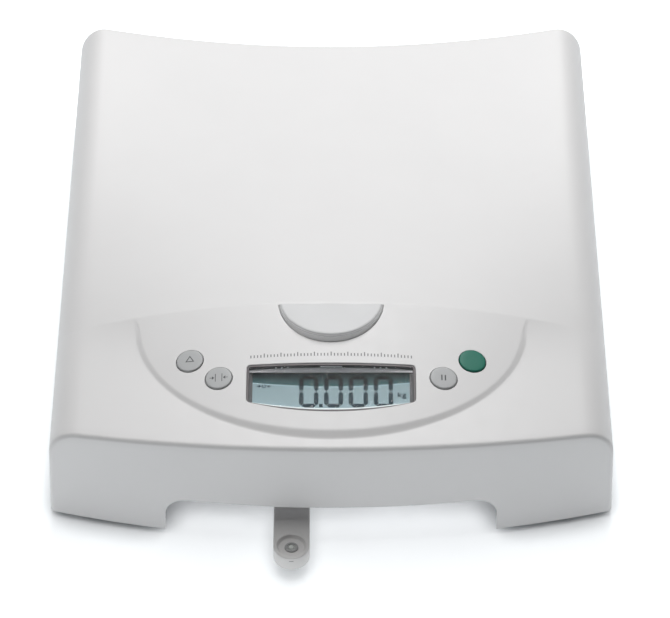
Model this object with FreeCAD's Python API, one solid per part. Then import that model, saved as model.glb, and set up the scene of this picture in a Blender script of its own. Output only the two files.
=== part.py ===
"""Digital baby weighing scale: the flat base unit that a lift-off weighing tray rests on.

Millimetres, +Z up.  The origin is the middle of the bounding box on the floor: the front wall and
the spirit-level arm look towards -Y.  Distances called "back" are measured towards the rear from
the middle of the front wall's lower edge.
"""
import FreeCAD, Part
import math
import os

V = FreeCAD.Vector

# ---------------------------------------------------------------- housing: overall
WIDTH = 288.4            # across the side walls at the lower edge
DEPTH = 337.0            # front wall (middle) to rear wall at the lower edge
SKIRT_Z = 4.0            # lower edge of the walls above the floor
SIDE_DRAFT = 1.75        # degrees
FRONT_DRAFT = 2.5
REAR_DRAFT = 1.5
FRONT_BOW_R = 541.0      # plan radius of the front wall
WALL = 2.6
COVER_GAP = 0.4          # between the top cover's skirt and the base cover
FRONT_EDGE_R = 2.2       # soft edge round the front wall

# ---------------------------------------------------------------- housing: top surface
SHOULDER_INSET = 17.2    # from the side wall's foot to where the top surface begins
SHOULDER_FRONT_Z = 59.7  # height of that line at the front wall
SHOULDER_REAR_Z = 70.0   # and at the rear wall
CORNER_DROP = 16.8       # height taken by the rounded shoulder
CROWN_FRONT = 5.8        # middle of the top surface above the shoulder line, at the front
CROWN_RIDGE = 18.6       # at the ridge behind the control panel
CROWN_REAR = -13.0       # at the rear wall, where the top is a shallow cradle
RIDGE_BACK = 94.0        # distance back of the ridge
APRON_POWER = 5.0        # the crown of the apron rises late, close to the ridge
CRADLE_POWER = 1.25      # the crown behind the ridge falls off a little faster at first
ARC_HANDLE = 0.5523      # Bezier handle of a quarter round

# ---------------------------------------------------------------- control panel
PANEL_SLOPE = 0.16       # fall per millimetre towards the front
PANEL_R = 104.0          # plan radius of the panel's front edge
PANEL_BAND = 3.6         # width of the bevelled band round it
PANEL_BAND_DROP = 2.3
PANEL_FRONT_BACK = 13.8  # front edge of the panel's top, on the centre line
PANEL_RIM_DROP = 12.77   # from the ridge down to where the band starts

# ---------------------------------------------------------------- front opening and level arm
NOTCH_HALF = 84.4
NOTCH_TOP_Z = 25.3
NOTCH_R = 8.0
RECESS_BACK = 64.0       # depth of the space under the front
ARM_OUT = 25.5           # tip of the level arm in front of the front wall
ARM_X = -20.0
ARM_W = 18.4
ARM_TOP_Z = 16.0
ARM_T = 4.0
ARM_PIVOT_BACK = 40.0
BOSS_H = 8.5
VIAL_R = 3.4
VIAL_H = 4.2
DISH_R = 7.3
DISH_DEPTH = 1.6
PIVOT_R = 2.5
PIVOT_GAP = 0.06
PIVOT_THREAD_R = 1.95
PIVOT_BOSS_R = 6.5
PIVOT_BOSS_GAP = 0.2     # between the boss and the arm
PIVOT_HEAD_R = 4.8
PIVOT_HEAD_H = 2.1
PIVOT_SINK_R = 5.2       # counterbore under the arm
PIVOT_SINK_H = 1.2

# ---------------------------------------------------------------- base cover and chassis
FLOOR_Z = 8.0
FLOOR_T = 2.5
RIM_TOP_Z = 22.0
RIM_T = 2.2
PLATE_Z = 30.0
PLATE_T = 2.0
PLATE_FRONT_INSET = 11.2  # from the front wall at the plate's corners
PLATE_REAR_INSET = 25.0
PLATE_SIDE_GAP = 0.9     # to the cover's side bosses
PLATE_LIP = 8.0
PLATE_CORNER_R = 10.0
PLATE_HOLE_R = 16.0      # lightening holes behind the front opening
PLATE_HOLE_X = 64.0
PLATE_HOLE_BACK = 122.0
LEAD_HOLE_R = 12.0       # holes that the battery leads pass through
LEAD_HOLE_X = 84.0
LEAD_HOLE_AHEAD = 18.0   # in front of the main board
SCREW_R = 1.75
SCREW_BOSS_R = 4.5
SCREW_HEAD_R = 3.3
SCREW_HEAD_H = 2.0
SCREW_SINK = 1.0         # cover screw heads sit this deep in the floor
SCREW_DEPTH = 12.0
SCREW_HOLE_DEPTH = 14.0
HOLE_PLAY = 0.2          # clearance holes, on the radius
THREAD_GAP = 0.05
FRONT_BOSS_X = 97.0
FRONT_BOSS_INSET = 11.4  # from the front wall beside the boss
SIDE_BOSS_INSET = 13.2
SIDE_BOSS_FRONT = 20.0   # behind the front load cells
SIDE_BOSS_REAR = 18.0    # in front of the rear load cells
REAR_BOSS_X = 70.0
REAR_BOSS_INSET = 16.0
CHASSIS_SCREW_IN = 15.0  # inwards of the feet
CHASSIS_SCREW_STEP = 10.0

# ---------------------------------------------------------------- load cells and feet
FOOT_INSET = 26.2        # from the side wall
FOOT_FRONT_INSET = 17.0  # from the front wall beside the foot
FOOT_REAR_INSET = 30.0
CELL_W = 12.7
CELL_LEN = 80.0
CELL_END = 8.0           # from the foot's axis to the near end of the cell
CELL_SPACER = 3.0
CELL_BORE_R = 4.0
CELL_SCREW_R = 2.5
CELL_SCREW_PITCH = 15.0
CELL_SCREW_END = 6.5
CELL_SCREW_HEAD_R = 4.6
CELL_SCREW_HEAD_H = 3.0
CELL_FLEX_R = 4.6        # two holes joined by a slot make the bar's flexure
CELL_FLEX_NEAR = 25.0
CELL_FLEX_FAR = 39.0
CELL_FLEX_SLOT = 2.4
STUD_GAP = 0.05
STUD_TOP_OVER = 0.6
PAD_R = 11.5
PAD_H = 3.0
PAD_SOCKET_DEPTH = 1.5
WHEEL_R = 12.5
WHEEL_H = 4.6
WHEEL_GROOVES = 24
GROOVE_R = 0.9
GROOVE_OUT = 0.25        # groove centres lie this far outside the rim
WHEEL_BEVEL = 0.6
FOOT_PLAY = 0.15         # between faces that turn on each other
FOOT_HOLE_R = 15.0

# ---------------------------------------------------------------- display
WINDOW_BACK = 41.0       # display's local origin on the panel surface
WINDOW_HALF = 42.8
WINDOW_UP = 14.3         # upper edge, measured up the panel slope
WINDOW_LOW = -8.6        # lower corners
WINDOW_BOW = 7.4         # the lower edge bows this much further down
WINDOW_R = 2.0
BEZEL_FIT = 0.1
BEZEL_WALL = 1.2
BEZEL_SINK = 0.35
BEZEL_FLANGE = 2.4
BEZEL_FLANGE_T = 1.2
BEZEL_FLANGE_GAP = 0.27  # under the cover
BEZEL_DEPTH = 6.9
LENS_SINK = 0.7
LENS_T = 1.5
LENS_FIT = 0.05
LCD_T = 2.2
LCD_MARGIN = 2.6
LCD_FIT = 0.2
LCD_LEDGE = 3.0          # step along the glass's upper edge for its contacts
HOLDER_WALL = 1.6
HOLDER_LIP = 0.3         # rises this much past the glass
HOLDER_SHELF = 1.4       # thickness of the shelf under the glass
HOLDER_SHELF_W = 6.0
BOARD_W = -14.8          # top of the display board along the normal
BOARD_T = 1.6
BOARD_HALF = 84.0
BOARD_LOW = -22.0
BOARD_UP = 29.0
BOARD_SCREWS = [(52.0, 24.0), (64.0, -15.0)]
BOARD_BOSS_R = 3.0
BOARD_SCREW_R = 1.1
BOARD_SCREW_DEPTH = 5.0
BOARD_HEAD_R = 2.4
BOARD_HEAD_H = 1.5
CHIP_X = 20.0            # spacing of the chips under the display board
CHIP_W = 10.0
CHIP_H = 1.8

# ---------------------------------------------------------------- keys
KEY_R = 6.75
KEY_GAP = 0.3
KEY_PROUD = 0.8          # cap above the panel
KEY_H = 5.45
KEY_FLANGE = 1.1         # flange wider than the cap
KEY_FLANGE_T = 1.0
KEY_FLANGE_GAP = 0.3     # under the cover
KEY_STEM_R = 2.2
DOME_H = 2.8
DOME_R = 4.6
DOME_WALL = 0.7
KEYS = {                 # (x, back) on the panel
    "memory_key": (-72.0, 60.4),
    "range_key": (-57.0, 48.0),
    "hold_key": (57.0, 48.0),
    "power_key": (72.0, 60.4),
}

# ---------------------------------------------------------------- tray release button
BUTTON_R = 28.2
BUTTON_LEAN = 1.4        # the top is this much smaller than the foot
BUTTON_CENTRE_BACK = 96.3
BUTTON_FLAT_BACK = 92.4
BUTTON_GAP = 0.4
BUTTON_PROUD = 0.1       # top above the ridge
BUTTON_EDGE_R = 1.6
BUTTON_WALL = 2.2
BUTTON_H = 11.07         # from the foot of the skirt to the top
BUTTON_FLARE = 0.6       # the leaning side would be this much wider than the foot where it starts
BUTTON_FOOT_H = 3.0      # upright part of the skirt
BUTTON_FLANGE = 1.9
BUTTON_FLANGE_T = 1.6
BUTTON_TRAVEL = 4.0
POST_X = 13.0
POST_AHEAD = 10.9        # in front of the button's straight edge
POST_R = 2.5
POST_GAP = 0.06
POST_SPARE = 1.5         # the post stops this far above the bush's foot when pressed
BUSH_R = 5.0
BUSH_RISE = 5.0          # above and below the guide's bridge
BUSH_CLEAR = 4.2         # between the pressed button and the bush
BUSH_FALL = 5.5
GUIDE_T = 2.5
GUIDE_HALF = 36.0
GUIDE_FRONT_OUT = 8.5    # the bridge reaches this far each way from the posts
GUIDE_REAR_OUT = 11.5
GUIDE_FOOT = 9.0
SPRING_R = 3.9
SPRING_WIRE_R = 0.4
WIRE_SIDES = 8
SPRING_TURNS = 6

# ---------------------------------------------------------------- power and electronics
CELL_AA_R = 7.2
CELL_AA_LEN = 49.2
CELL_AA_NUB = 1.2
CELL_AA_NUB_R = 2.7
CELL_AA_COUNT = 6
CELL_AA_PLAY = 0.8       # between neighbouring cells
BAY_TO_BOARD = 86.0      # from the bay's front to the main board
BAY_SLACK = 5.2          # room for the contact springs
BAY_SIDE = 0.6
BAY_WALL = 1.5
BAY_ROOF_Z = 27.6
BAY_ROOF_PLAY = 1.0      # above the cells
BAY_RIB = 3.5
CONTACT_T = 0.4
CONTACT_HALF = 6.0
CONTACT_COIL_R = 3.6
DOOR_GAP = 0.4
DOOR_SWING_GAP = 0.75    # at its hinge side, so that the edge swings clear
DOOR_T = 2.2
DOOR_PIN_R = 1.0
DOOR_PIN_GAP = 0.05
DOOR_KNUCKLE_R = 2.2
DOOR_PIN_UP = 2.3        # above the floor's underside
DOOR_KNUCKLE_X = 24.0
DOOR_KNUCKLE_W = 14.0
DOOR_LUG_X = 36.5
DOOR_LUG_W = 6.0
DOOR_LUG_HALF = 2.2
DOOR_CATCH_HALF = 8.0
DOOR_CATCH_OUT = 2.4
DOOR_CATCH_PLAY = 2.0
DOOR_GRIPS = 5
DOOR_GRIP_PITCH = 2.4
DOOR_GRIP_HALF = 14.0
MAIN_HALF = 56.0
MAIN_LEN = 64.0
MAIN_REAR_INSET = 12.0   # from the plate's rear edge
STANDOFF_H = 6.0
STANDOFF_R = 3.0
BOARD_HOLE_IN = 5.0
SOCKET_W = 8.0
SOCKET_L = 7.0
SOCKET_H = 6.0
LEAD_R = 1.4
POWER_LEAD_R = 0.9
RIBBON_W = 12.0
RIBBON_T = 0.8


def front_bow(x):
    """How far the bowed front wall lies back at a distance from the centre plane."""
    return FRONT_BOW_R - math.sqrt(FRONT_BOW_R ** 2 - x ** 2)


# ---------------------------------------------------------------- worked out from the above
HALF_W = WIDTH / 2
SHOULDER_X = HALF_W - SHOULDER_INSET
FRONT_Y = ARM_OUT - (DEPTH + ARM_OUT) / 2
RIDGE_Z = (SHOULDER_FRONT_Z + (SHOULDER_REAR_Z - SHOULDER_FRONT_Z) * RIDGE_BACK / DEPTH
           + CROWN_RIDGE)
PANEL_CENTRE_BACK = PANEL_FRONT_BACK + PANEL_R
PANEL_SAG = CROWN_RIDGE / SHOULDER_X ** 2
PANEL_TILT = math.degrees(math.atan(PANEL_SLOPE))
PANEL_RIM_Z = RIDGE_Z - PANEL_RIM_DROP
PLATE_TOP_Z = PLATE_Z + PLATE_T
FLOOR_TOP_Z = FLOOR_Z + FLOOR_T
CELL_TOP_Z = PLATE_Z - CELL_SPACER
CELL_LOW_Z = CELL_TOP_Z - CELL_W
STUD_R = CELL_BORE_R - STUD_GAP
SIDE_BOSS_X = HALF_W - SIDE_BOSS_INSET
PLATE_HALF = SIDE_BOSS_X - SCREW_BOSS_R - PLATE_SIDE_GAP
PLATE_FRONT_BACK = front_bow(PLATE_HALF) + PLATE_FRONT_INSET
PLATE_REAR_BACK = DEPTH - PLATE_REAR_INSET
FOOT_X = HALF_W - FOOT_INSET
FOOT_FRONT_BACK = front_bow(FOOT_X) + FOOT_FRONT_INSET
FOOT_REAR_BACK = DEPTH - FOOT_REAR_INSET
CELL_REACH = CELL_LEN - CELL_END
COVER_SCREWS = [
    (FRONT_BOSS_X, front_bow(FRONT_BOSS_X) + FRONT_BOSS_INSET),
    (SIDE_BOSS_X, FOOT_FRONT_BACK + CELL_REACH + SIDE_BOSS_FRONT),
    (SIDE_BOSS_X, FOOT_REAR_BACK - CELL_REACH - SIDE_BOSS_REAR),
    (REAR_BOSS_X, DEPTH - REAR_BOSS_INSET),
]
CHASSIS_SCREWS = [
    (FOOT_X - CHASSIS_SCREW_IN, FOOT_FRONT_BACK + CHASSIS_SCREW_STEP),
    (FOOT_X - CHASSIS_SCREW_IN, (FOOT_FRONT_BACK + FOOT_REAR_BACK) / 2),
    (FOOT_X - CHASSIS_SCREW_IN, FOOT_REAR_BACK - CHASSIS_SCREW_STEP),
]
KEY_FLANGE_R = KEY_R + KEY_FLANGE
BUTTON_TOP_Z = RIDGE_Z + BUTTON_PROUD
BUTTON_TOP_R = BUTTON_R - BUTTON_LEAN
BUTTON_SKIRT_Z = BUTTON_TOP_Z - BUTTON_H
POST_BACK = BUTTON_FLAT_BACK - POST_AHEAD
BUSH_TOP_Z = BUTTON_SKIRT_Z - BUTTON_TRAVEL - BUSH_CLEAR
GUIDE_Z = BUSH_TOP_Z - BUSH_RISE
BUSH_LOW_Z = GUIDE_Z - BUSH_FALL
POST_LOW_Z = BUSH_LOW_Z + BUTTON_TRAVEL + POST_SPARE
GUIDE_FRONT_BACK = POST_BACK - GUIDE_FRONT_OUT
GUIDE_REAR_BACK = POST_BACK + GUIDE_REAR_OUT
MAIN_REAR_BACK = PLATE_REAR_BACK - MAIN_REAR_INSET
MAIN_FRONT_BACK = MAIN_REAR_BACK - MAIN_LEN
MAIN_Z = PLATE_TOP_Z + STANDOFF_H
MAIN_TOP_Z = MAIN_Z + BOARD_T
BAY_FRONT_BACK = MAIN_FRONT_BACK - BAY_TO_BOARD
BAY_LEN = CELL_AA_LEN + CELL_AA_NUB + BAY_SLACK + 2 * CONTACT_T
CELL_AA_PITCH = 2 * CELL_AA_R + CELL_AA_PLAY
CELL_AA_Z = BAY_ROOF_Z - BAY_ROOF_PLAY - CELL_AA_R
DOOR_PIN_Z = FLOOR_Z + DOOR_PIN_UP
CORNERS = {
    "front_left": (-FOOT_X, FOOT_FRONT_BACK, 1),
    "front_right": (FOOT_X, FOOT_FRONT_BACK, 1),
    "rear_left": (-FOOT_X, FOOT_REAR_BACK, -1),
    "rear_right": (FOOT_X, FOOT_REAR_BACK, -1),
}


# ================================================================ small helpers
def at(x, back, z):
    """Point at x, a distance back from the front wall, and a height."""
    return V(x, FRONT_Y + back, z)


def block(x0, x1, back0, back1, z0, z1):
    """Upright box between two corners."""
    return Part.makeBox(x1 - x0, back1 - back0, z1 - z0, at(x0, back0, z0))


def rod(radius, x, back, z0, z1):
    """Upright cylinder."""
    return Part.makeCylinder(radius, z1 - z0, at(x, back, z0))


def cross_rod(radius, x0, x1, back, z):
    """Cylinder lying along X."""
    return Part.makeCylinder(radius, x1 - x0, at(x0, back, z), V(1, 0, 0))


def along_rod(radius, x, back0, back1, z):
    """Cylinder lying along Y."""
    return Part.makeCylinder(radius, back1 - back0, at(x, back0, z), V(0, 1, 0))


def join(shapes):
    """Fuse shapes into one and drop the seams between them."""
    shapes = list(shapes)
    return shapes[0].multiFuse(shapes[1:]).removeSplitter() if len(shapes) > 1 else shapes[0]


def group(shapes):
    """Separate solids that share one node."""
    return Part.makeCompound([s for shape in shapes for s in shape.Solids])


def mirror_x(shape):
    """The same shape on the other side of the centre plane."""
    return shape.mirror(V(0, 0, 0), V(1, 0, 0))


def round_edges(shape, radius, keep):
    """Round the edges that the test picks."""
    edges = [edge for edge in shape.Edges if keep(edge)]
    return shape.makeFillet(radius, edges) if edges else shape


def upright(edge):
    """True for a straight edge along Z."""
    ends = edge.Vertexes
    if len(ends) != 2:
        return False
    step = ends[1].Point.sub(ends[0].Point)
    return abs(step.x) < 0.01 and abs(step.y) < 0.01


def hollow_rod(outer, inner, x, back, z0, z1):
    """Upright tube."""
    return rod(outer, x, back, z0, z1).cut(rod(inner, x, back, z0 - 1, z1 + 1))


def coil(radius, wire, x, back, z0, z1, turns):
    """Upright helical spring between two heights, of wire with small flats."""
    pitch = (z1 - z0 - 2 * wire) / turns
    helix = Part.makeHelix(pitch, pitch * turns, radius)
    across = V(0, -pitch, 2 * math.pi * radius).normalize()
    corners = []
    for n in range(WIRE_SIDES):
        angle = 2 * math.pi * n / WIRE_SIDES
        corner = V(radius + wire * math.cos(angle), 0, 0)
        corners.append(corner.add(V(across).multiply(wire * math.sin(angle))))
    ring = Part.makePolygon(corners + corners[:1])
    spring = Part.Wire(helix.Edges).makePipeShell([ring], True, True)
    spring.translate(at(x, back, z0 + wire))
    return spring


# ================================================================ housing surfaces
def shoulder_z(back):
    """Height of the shoulder line."""
    return SHOULDER_FRONT_Z + (SHOULDER_REAR_Z - SHOULDER_FRONT_Z) * back / DEPTH


def crown(back):
    """Height of the middle of the top surface above the shoulder line."""
    if back <= RIDGE_BACK:
        rise = (max(back, 0.0) / RIDGE_BACK) ** APRON_POWER
        return CROWN_FRONT + (CROWN_RIDGE - CROWN_FRONT) * rise
    left = max(1 - (back - RIDGE_BACK) / (DEPTH - RIDGE_BACK), 0.0)
    return CROWN_REAR + (CROWN_RIDGE - CROWN_REAR) * left ** CRADLE_POWER


def wall_x(z, inset):
    """Half width of the housing at a height, moved in by inset."""
    return HALF_W - (z - SKIRT_Z) * math.tan(math.radians(SIDE_DRAFT)) - inset


def bezier(*poles):
    """Bezier edge through its control points."""
    curve = Part.BezierCurve()
    curve.setPoles(list(poles))
    return curve.toShape()


def section(back, inset, low_z):
    """Closed cross-section of the housing in an XZ plane, moved in by inset."""
    top = shoulder_z(back) - inset
    drop = CORNER_DROP - inset
    foot = V(wall_x(low_z, inset), 0, low_z)
    start = V(wall_x(top - drop, inset), 0, top - drop)
    end = V(SHOULDER_X, 0, top)
    up = V(-math.tan(math.radians(SIDE_DRAFT)), 0, 1).normalize()
    out = V(1, 0, -2 * crown(back) / SHOULDER_X).normalize()
    knee = start.add(V(up).multiply(ARC_HANDLE * drop))
    brow = end.add(V(out).multiply(ARC_HANDLE * (start.x - end.x)))
    apex = V(0, 0, top + 2 * crown(back))

    def left(point):
        return V(-point.x, point.y, point.z)

    edges = [
        Part.makeLine(left(foot), foot),
        Part.makeLine(foot, start),
        bezier(start, knee, brow, end),
        bezier(end, apex, left(end)),
        bezier(left(end), left(brow), left(knee), left(start)),
        Part.makeLine(left(start), left(foot)),
    ]
    wire = Part.Wire(edges)
    wire.translate(V(0, FRONT_Y + back, 0))
    return wire


def swept_body(inset, low_z):
    """Housing block before its ends are trimmed: apron in front of the ridge, cradle behind."""
    apron = [RIDGE_BACK * t for t in (-0.12, 0.12, 0.35, 0.56, 0.74, 0.88, 1.0)]
    cradle = [RIDGE_BACK + (DEPTH - RIDGE_BACK) * t for t in (0.0, 0.14, 0.3, 0.48, 0.66, 0.84, 1.04)]
    front = Part.makeLoft([section(b, inset, low_z) for b in apron], True, False)
    rear = Part.makeLoft([section(b, inset, low_z) for b in cradle], True, False)
    return front.fuse(rear)


def plan_wire(z, inset):
    """Outline seen from above at a height: bowed front, straight sides and rear."""
    front = FRONT_Y + (z - SKIRT_Z) * math.tan(math.radians(FRONT_DRAFT)) + inset
    rear = FRONT_Y + DEPTH - (z - SKIRT_Z) * math.tan(math.radians(REAR_DRAFT)) - inset
    half = HALF_W + 10.0
    bow = front_bow(half)
    arc = Part.Arc(V(-half, front + bow, z), V(0, front, z), V(half, front + bow, z)).toShape()
    return Part.Wire([
        arc,
        Part.makeLine(V(half, front + bow, z), V(half, rear, z)),
        Part.makeLine(V(half, rear, z), V(-half, rear, z)),
        Part.makeLine(V(-half, rear, z), V(-half, front + bow, z)),
    ])


def plan_block(inset):
    """Drafted upright block with the plan outline."""
    return Part.makeLoft([plan_wire(-5.0, inset), plan_wire(110.0, inset)], True, True)


def panel_block(inset):
    """Everything under the tilted, crowned panel surface, in front of the ridge."""
    low = RIDGE_Z - CROWN_RIDGE - 25.0
    top = RIDGE_Z - inset
    ends = top - PANEL_SAG * SHOULDER_X ** 2
    edges = [
        bezier(V(SHOULDER_X, 0, ends), V(0, 0, top + CROWN_RIDGE), V(-SHOULDER_X, 0, ends)),
        Part.makeLine(V(-SHOULDER_X, 0, ends), V(-SHOULDER_X, 0, low)),
        Part.makeLine(V(-SHOULDER_X, 0, low), V(SHOULDER_X, 0, low)),
        Part.makeLine(V(SHOULDER_X, 0, low), V(SHOULDER_X, 0, ends)),
    ]
    face = Part.Face(Part.Wire(edges))
    face.translate(V(0, FRONT_Y + RIDGE_BACK, 0))
    reach = RIDGE_BACK + 20.0
    return face.extrude(V(0, -reach, -reach * PANEL_SLOPE))


def panel_plan(inset):
    """Round block that gives the panel its curved front edge and bevelled band."""
    flare = PANEL_BAND / PANEL_BAND_DROP
    low = PANEL_RIM_Z - 20.0
    points = [V(0, 0, low), V(PANEL_R + 20.0 * flare - inset, 0, low),
              V(PANEL_R - inset, 0, PANEL_RIM_Z), V(PANEL_R - inset, 0, 110.0), V(0, 0, 110.0)]
    profile = Part.Face(Part.makePolygon(points + points[:1]))
    solid = profile.revolve(V(0, 0, 0), V(0, 0, 1), 360)
    solid.translate(at(0, PANEL_CENTRE_BACK, 0))
    return solid


def housing_block(inset, low_z):
    """Solid inside of the housing, moved in by inset, with the control panel raised on it."""
    body = swept_body(inset, low_z).common(plan_block(inset))
    panel = panel_block(inset).common(panel_plan(inset)).common(plan_block(inset))
    return body.fuse(panel)


def on_front_wall(edge):
    """True for an edge that lies on the bowed front wall."""
    first, last = edge.ParameterRange
    for share in (0.02, 0.3, 0.5, 0.7, 0.98):
        point = edge.valueAt(first + (last - first) * share)
        lean = (point.z - SKIRT_Z) * math.tan(math.radians(FRONT_DRAFT))
        if abs(point.y - FRONT_Y - front_bow(point.x) - lean) > 0.15:
            return False
    return True


def rounded_housing():
    """Outer form of the housing, with the front wall's upright and upper edges rounded."""
    outer = housing_block(0.0, SKIRT_Z).removeSplitter()

    def above_the_foot(edge):
        return on_front_wall(edge) and max(v.Z for v in edge.Vertexes) > SKIRT_Z + 1.0

    return round_edges(outer, FRONT_EDGE_R, above_the_foot)


# ================================================================ panel frame
def on_panel(shape):
    """Place a shape made in the panel's own frame: x across, y up the slope, z along its normal."""
    origin_z = RIDGE_Z - PANEL_SLOPE * (RIDGE_BACK - WINDOW_BACK)
    turn = FreeCAD.Rotation(V(1, 0, 0), PANEL_TILT)
    placed = shape.copy()
    placed.Placement = FreeCAD.Placement(at(0, WINDOW_BACK, origin_z), turn).multiply(placed.Placement)
    return placed


def panel_y(back):
    """Distance up the slope of a point that lies back from the front wall."""
    return (back - WINDOW_BACK) / math.cos(math.radians(PANEL_TILT))


def panel_w(x):
    """Height of the crowned panel surface along the normal."""
    return -PANEL_SAG * x * x * math.cos(math.radians(PANEL_TILT))


def under_panel(sink, low_w):
    """Block below the panel surface, in the panel's frame."""
    half = BOARD_HALF + 10.0
    top = V(0, 0, -sink - panel_w(half))
    side = -sink + panel_w(half)
    edges = [
        bezier(V(half, 0, side), top, V(-half, 0, side)),
        Part.makeLine(V(-half, 0, side), V(-half, 0, low_w)),
        Part.makeLine(V(-half, 0, low_w), V(half, 0, low_w)),
        Part.makeLine(V(half, 0, low_w), V(half, 0, side)),
    ]
    face = Part.Face(Part.Wire(edges))
    face.translate(V(0, -60.0, 0))
    return face.extrude(V(0, 140.0, 0))


def window_prism(inset, low_w, high_w):
    """Display opening in the panel's frame, moved in by inset (out when negative)."""
    half = WINDOW_HALF - inset
    up = WINDOW_UP - inset
    low = WINDOW_LOW
    bottom = WINDOW_LOW - WINDOW_BOW + inset
    edges = [
        Part.makeLine(V(half, low, 0), V(half, up, 0)),
        Part.makeLine(V(half, up, 0), V(-half, up, 0)),
        Part.makeLine(V(-half, up, 0), V(-half, low, 0)),
        Part.Arc(V(-half, low, 0), V(0, bottom, 0), V(half, low, 0)).toShape(),
    ]
    prism = Part.Face(Part.Wire(edges)).extrude(V(0, 0, high_w - low_w))
    prism.translate(V(0, 0, low_w))
    return round_edges(prism, max(WINDOW_R - inset, 0.4), upright)


# ================================================================ housing parts
def button_prism(radius, flat_back, z0, z1):
    """Half-moon block: a disc cut off by a straight rear edge."""
    disc = rod(radius, 0, BUTTON_CENTRE_BACK, z0, z1)
    return disc.common(block(-radius - 1, radius + 1, 0, flat_back, z0 - 1, z1 + 1))


def button_lean(out):
    """Leaning side of the release button, moved out all round; it runs on above the button's top."""
    start_z = BUTTON_SKIRT_Z + BUTTON_FOOT_H
    start_r, top_r = BUTTON_R + BUTTON_FLARE, BUTTON_TOP_R
    fall = (start_r - top_r) / (BUTTON_TOP_Z - start_z)
    high_z = BUTTON_TOP_Z + BUTTON_H
    cone = Part.makeCone(start_r + out, top_r + out - fall * (high_z - BUTTON_TOP_Z), high_z - start_z,
                         at(0, BUTTON_CENTRE_BACK, start_z))
    return cone.fuse(rod(start_r + out, 0, BUTTON_CENTRE_BACK, BUTTON_SKIRT_Z - BUTTON_H, start_z))


def notch_cutter():
    """Opening in the lower front wall, with rounded upper corners."""
    cutter = block(-NOTCH_HALF, NOTCH_HALF, -20.0, 16.0, -10.0, NOTCH_TOP_Z)

    def upper_corner(edge):
        ends = [v.Point for v in edge.Vertexes]
        return all(abs(p.z - NOTCH_TOP_Z) < 0.01 for p in ends) and abs(ends[0].x - ends[1].x) < 0.01

    return round_edges(cutter, NOTCH_R, upper_corner)


def key_place(name):
    """Centre of a key in the panel's frame."""
    x, back = KEYS[name]
    return V(x, panel_y(back), 0)


def panel_rod(radius, centre, w0, w1):
    """Cylinder along the panel's normal."""
    return Part.makeCylinder(radius, w1 - w0, V(centre.x, centre.y, w0))


def mirrored_pairs(points):
    """Each point and its twin on the other side."""
    return [(side * x, y) for x, y in points for side in (-1, 1)]


def make_top_cover():
    shell = rounded_housing().cut(housing_block(WALL, SKIRT_Z - 3.0))
    shell = shell.cut(notch_cutter())
    inside = housing_block(WALL * 0.5, SKIRT_Z)
    for x, back in mirrored_pairs(COVER_SCREWS):
        boss = rod(SCREW_BOSS_R, x, back, FLOOR_TOP_Z, 100.0).common(inside)
        shell = shell.fuse(boss).cut(rod(SCREW_R, x, back, FLOOR_TOP_Z - 1,
                                            FLOOR_TOP_Z + SCREW_HOLE_DEPTH))
    lining = on_panel(under_panel(WALL * 0.5, -30.0))
    for x, y in mirrored_pairs(BOARD_SCREWS):
        boss = on_panel(panel_rod(BOARD_BOSS_R, V(x, y, 0), BOARD_W, 0.0)).common(lining)
        hole = on_panel(panel_rod(BOARD_SCREW_R, V(x, y, 0), BOARD_W - 1, BOARD_W + BOARD_SCREW_DEPTH + 1))
        shell = shell.fuse(boss).cut(hole)
    shell = shell.cut(on_panel(window_prism(0.0, -12.0, 8.0)))
    for name in KEYS:
        shell = shell.cut(on_panel(panel_rod(KEY_R + KEY_GAP, key_place(name), -12.0, 4.0)))
    hole = button_prism(BUTTON_R + BUTTON_GAP, BUTTON_FLAT_BACK + BUTTON_GAP,
                        BUTTON_SKIRT_Z - BUTTON_H / 2, BUTTON_TOP_Z + BUTTON_H / 2)
    shell = shell.cut(hole.common(button_lean(BUTTON_GAP)))
    return shell


def make_base_cover():
    fit = WALL + COVER_GAP
    outer = housing_block(fit, FLOOR_Z)
    inner = housing_block(fit + RIM_T, FLOOR_Z)
    everywhere = block(-200, 200, -20, 400, FLOOR_TOP_Z, 100)
    pan = outer.common(block(-200, 200, -20, 400, FLOOR_Z, RIM_TOP_Z)).cut(inner.common(everywhere))
    roof_z = NOTCH_TOP_Z + FLOOR_T
    edge = NOTCH_HALF + FLOOR_T
    hood = outer.common(block(-edge, edge, -20, RECESS_BACK + FLOOR_T, FLOOR_Z, roof_z))
    pan = pan.fuse(hood)
    pan = pan.cut(block(-NOTCH_HALF, NOTCH_HALF, -20, RECESS_BACK, 0, NOTCH_TOP_Z))
    pan = pan.fuse(rod(PIVOT_BOSS_R, ARM_X, ARM_PIVOT_BACK, ARM_TOP_Z + PIVOT_BOSS_GAP, NOTCH_TOP_Z + 1))
    pan = pan.cut(rod(PIVOT_THREAD_R + THREAD_GAP, ARM_X, ARM_PIVOT_BACK, ARM_TOP_Z, NOTCH_TOP_Z + 1.5))
    for x, back in mirrored_pairs(COVER_SCREWS):
        pan = pan.cut(rod(SCREW_R + HOLE_PLAY, x, back, 0, FLOOR_TOP_Z + 1))
        pan = pan.cut(rod(SCREW_HEAD_R + HOLE_PLAY, x, back, 0, FLOOR_Z + SCREW_SINK))
    for x, back in mirrored_pairs(CHASSIS_SCREWS):
        pan = pan.fuse(rod(SCREW_BOSS_R, x, back, FLOOR_TOP_Z - 0.5, PLATE_Z))
        pan = pan.cut(rod(SCREW_R, x, back, FLOOR_TOP_Z + 1, PLATE_Z + 1))
    for x, back, _ in CORNERS.values():
        pan = pan.cut(rod(FOOT_HOLE_R, x, back, 0, FLOOR_TOP_Z + 1))
    return cut_battery_opening(pan)


def bay_half():
    """Half width of the battery bay."""
    return CELL_AA_COUNT * CELL_AA_PITCH / 2 + BAY_SIDE


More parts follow.
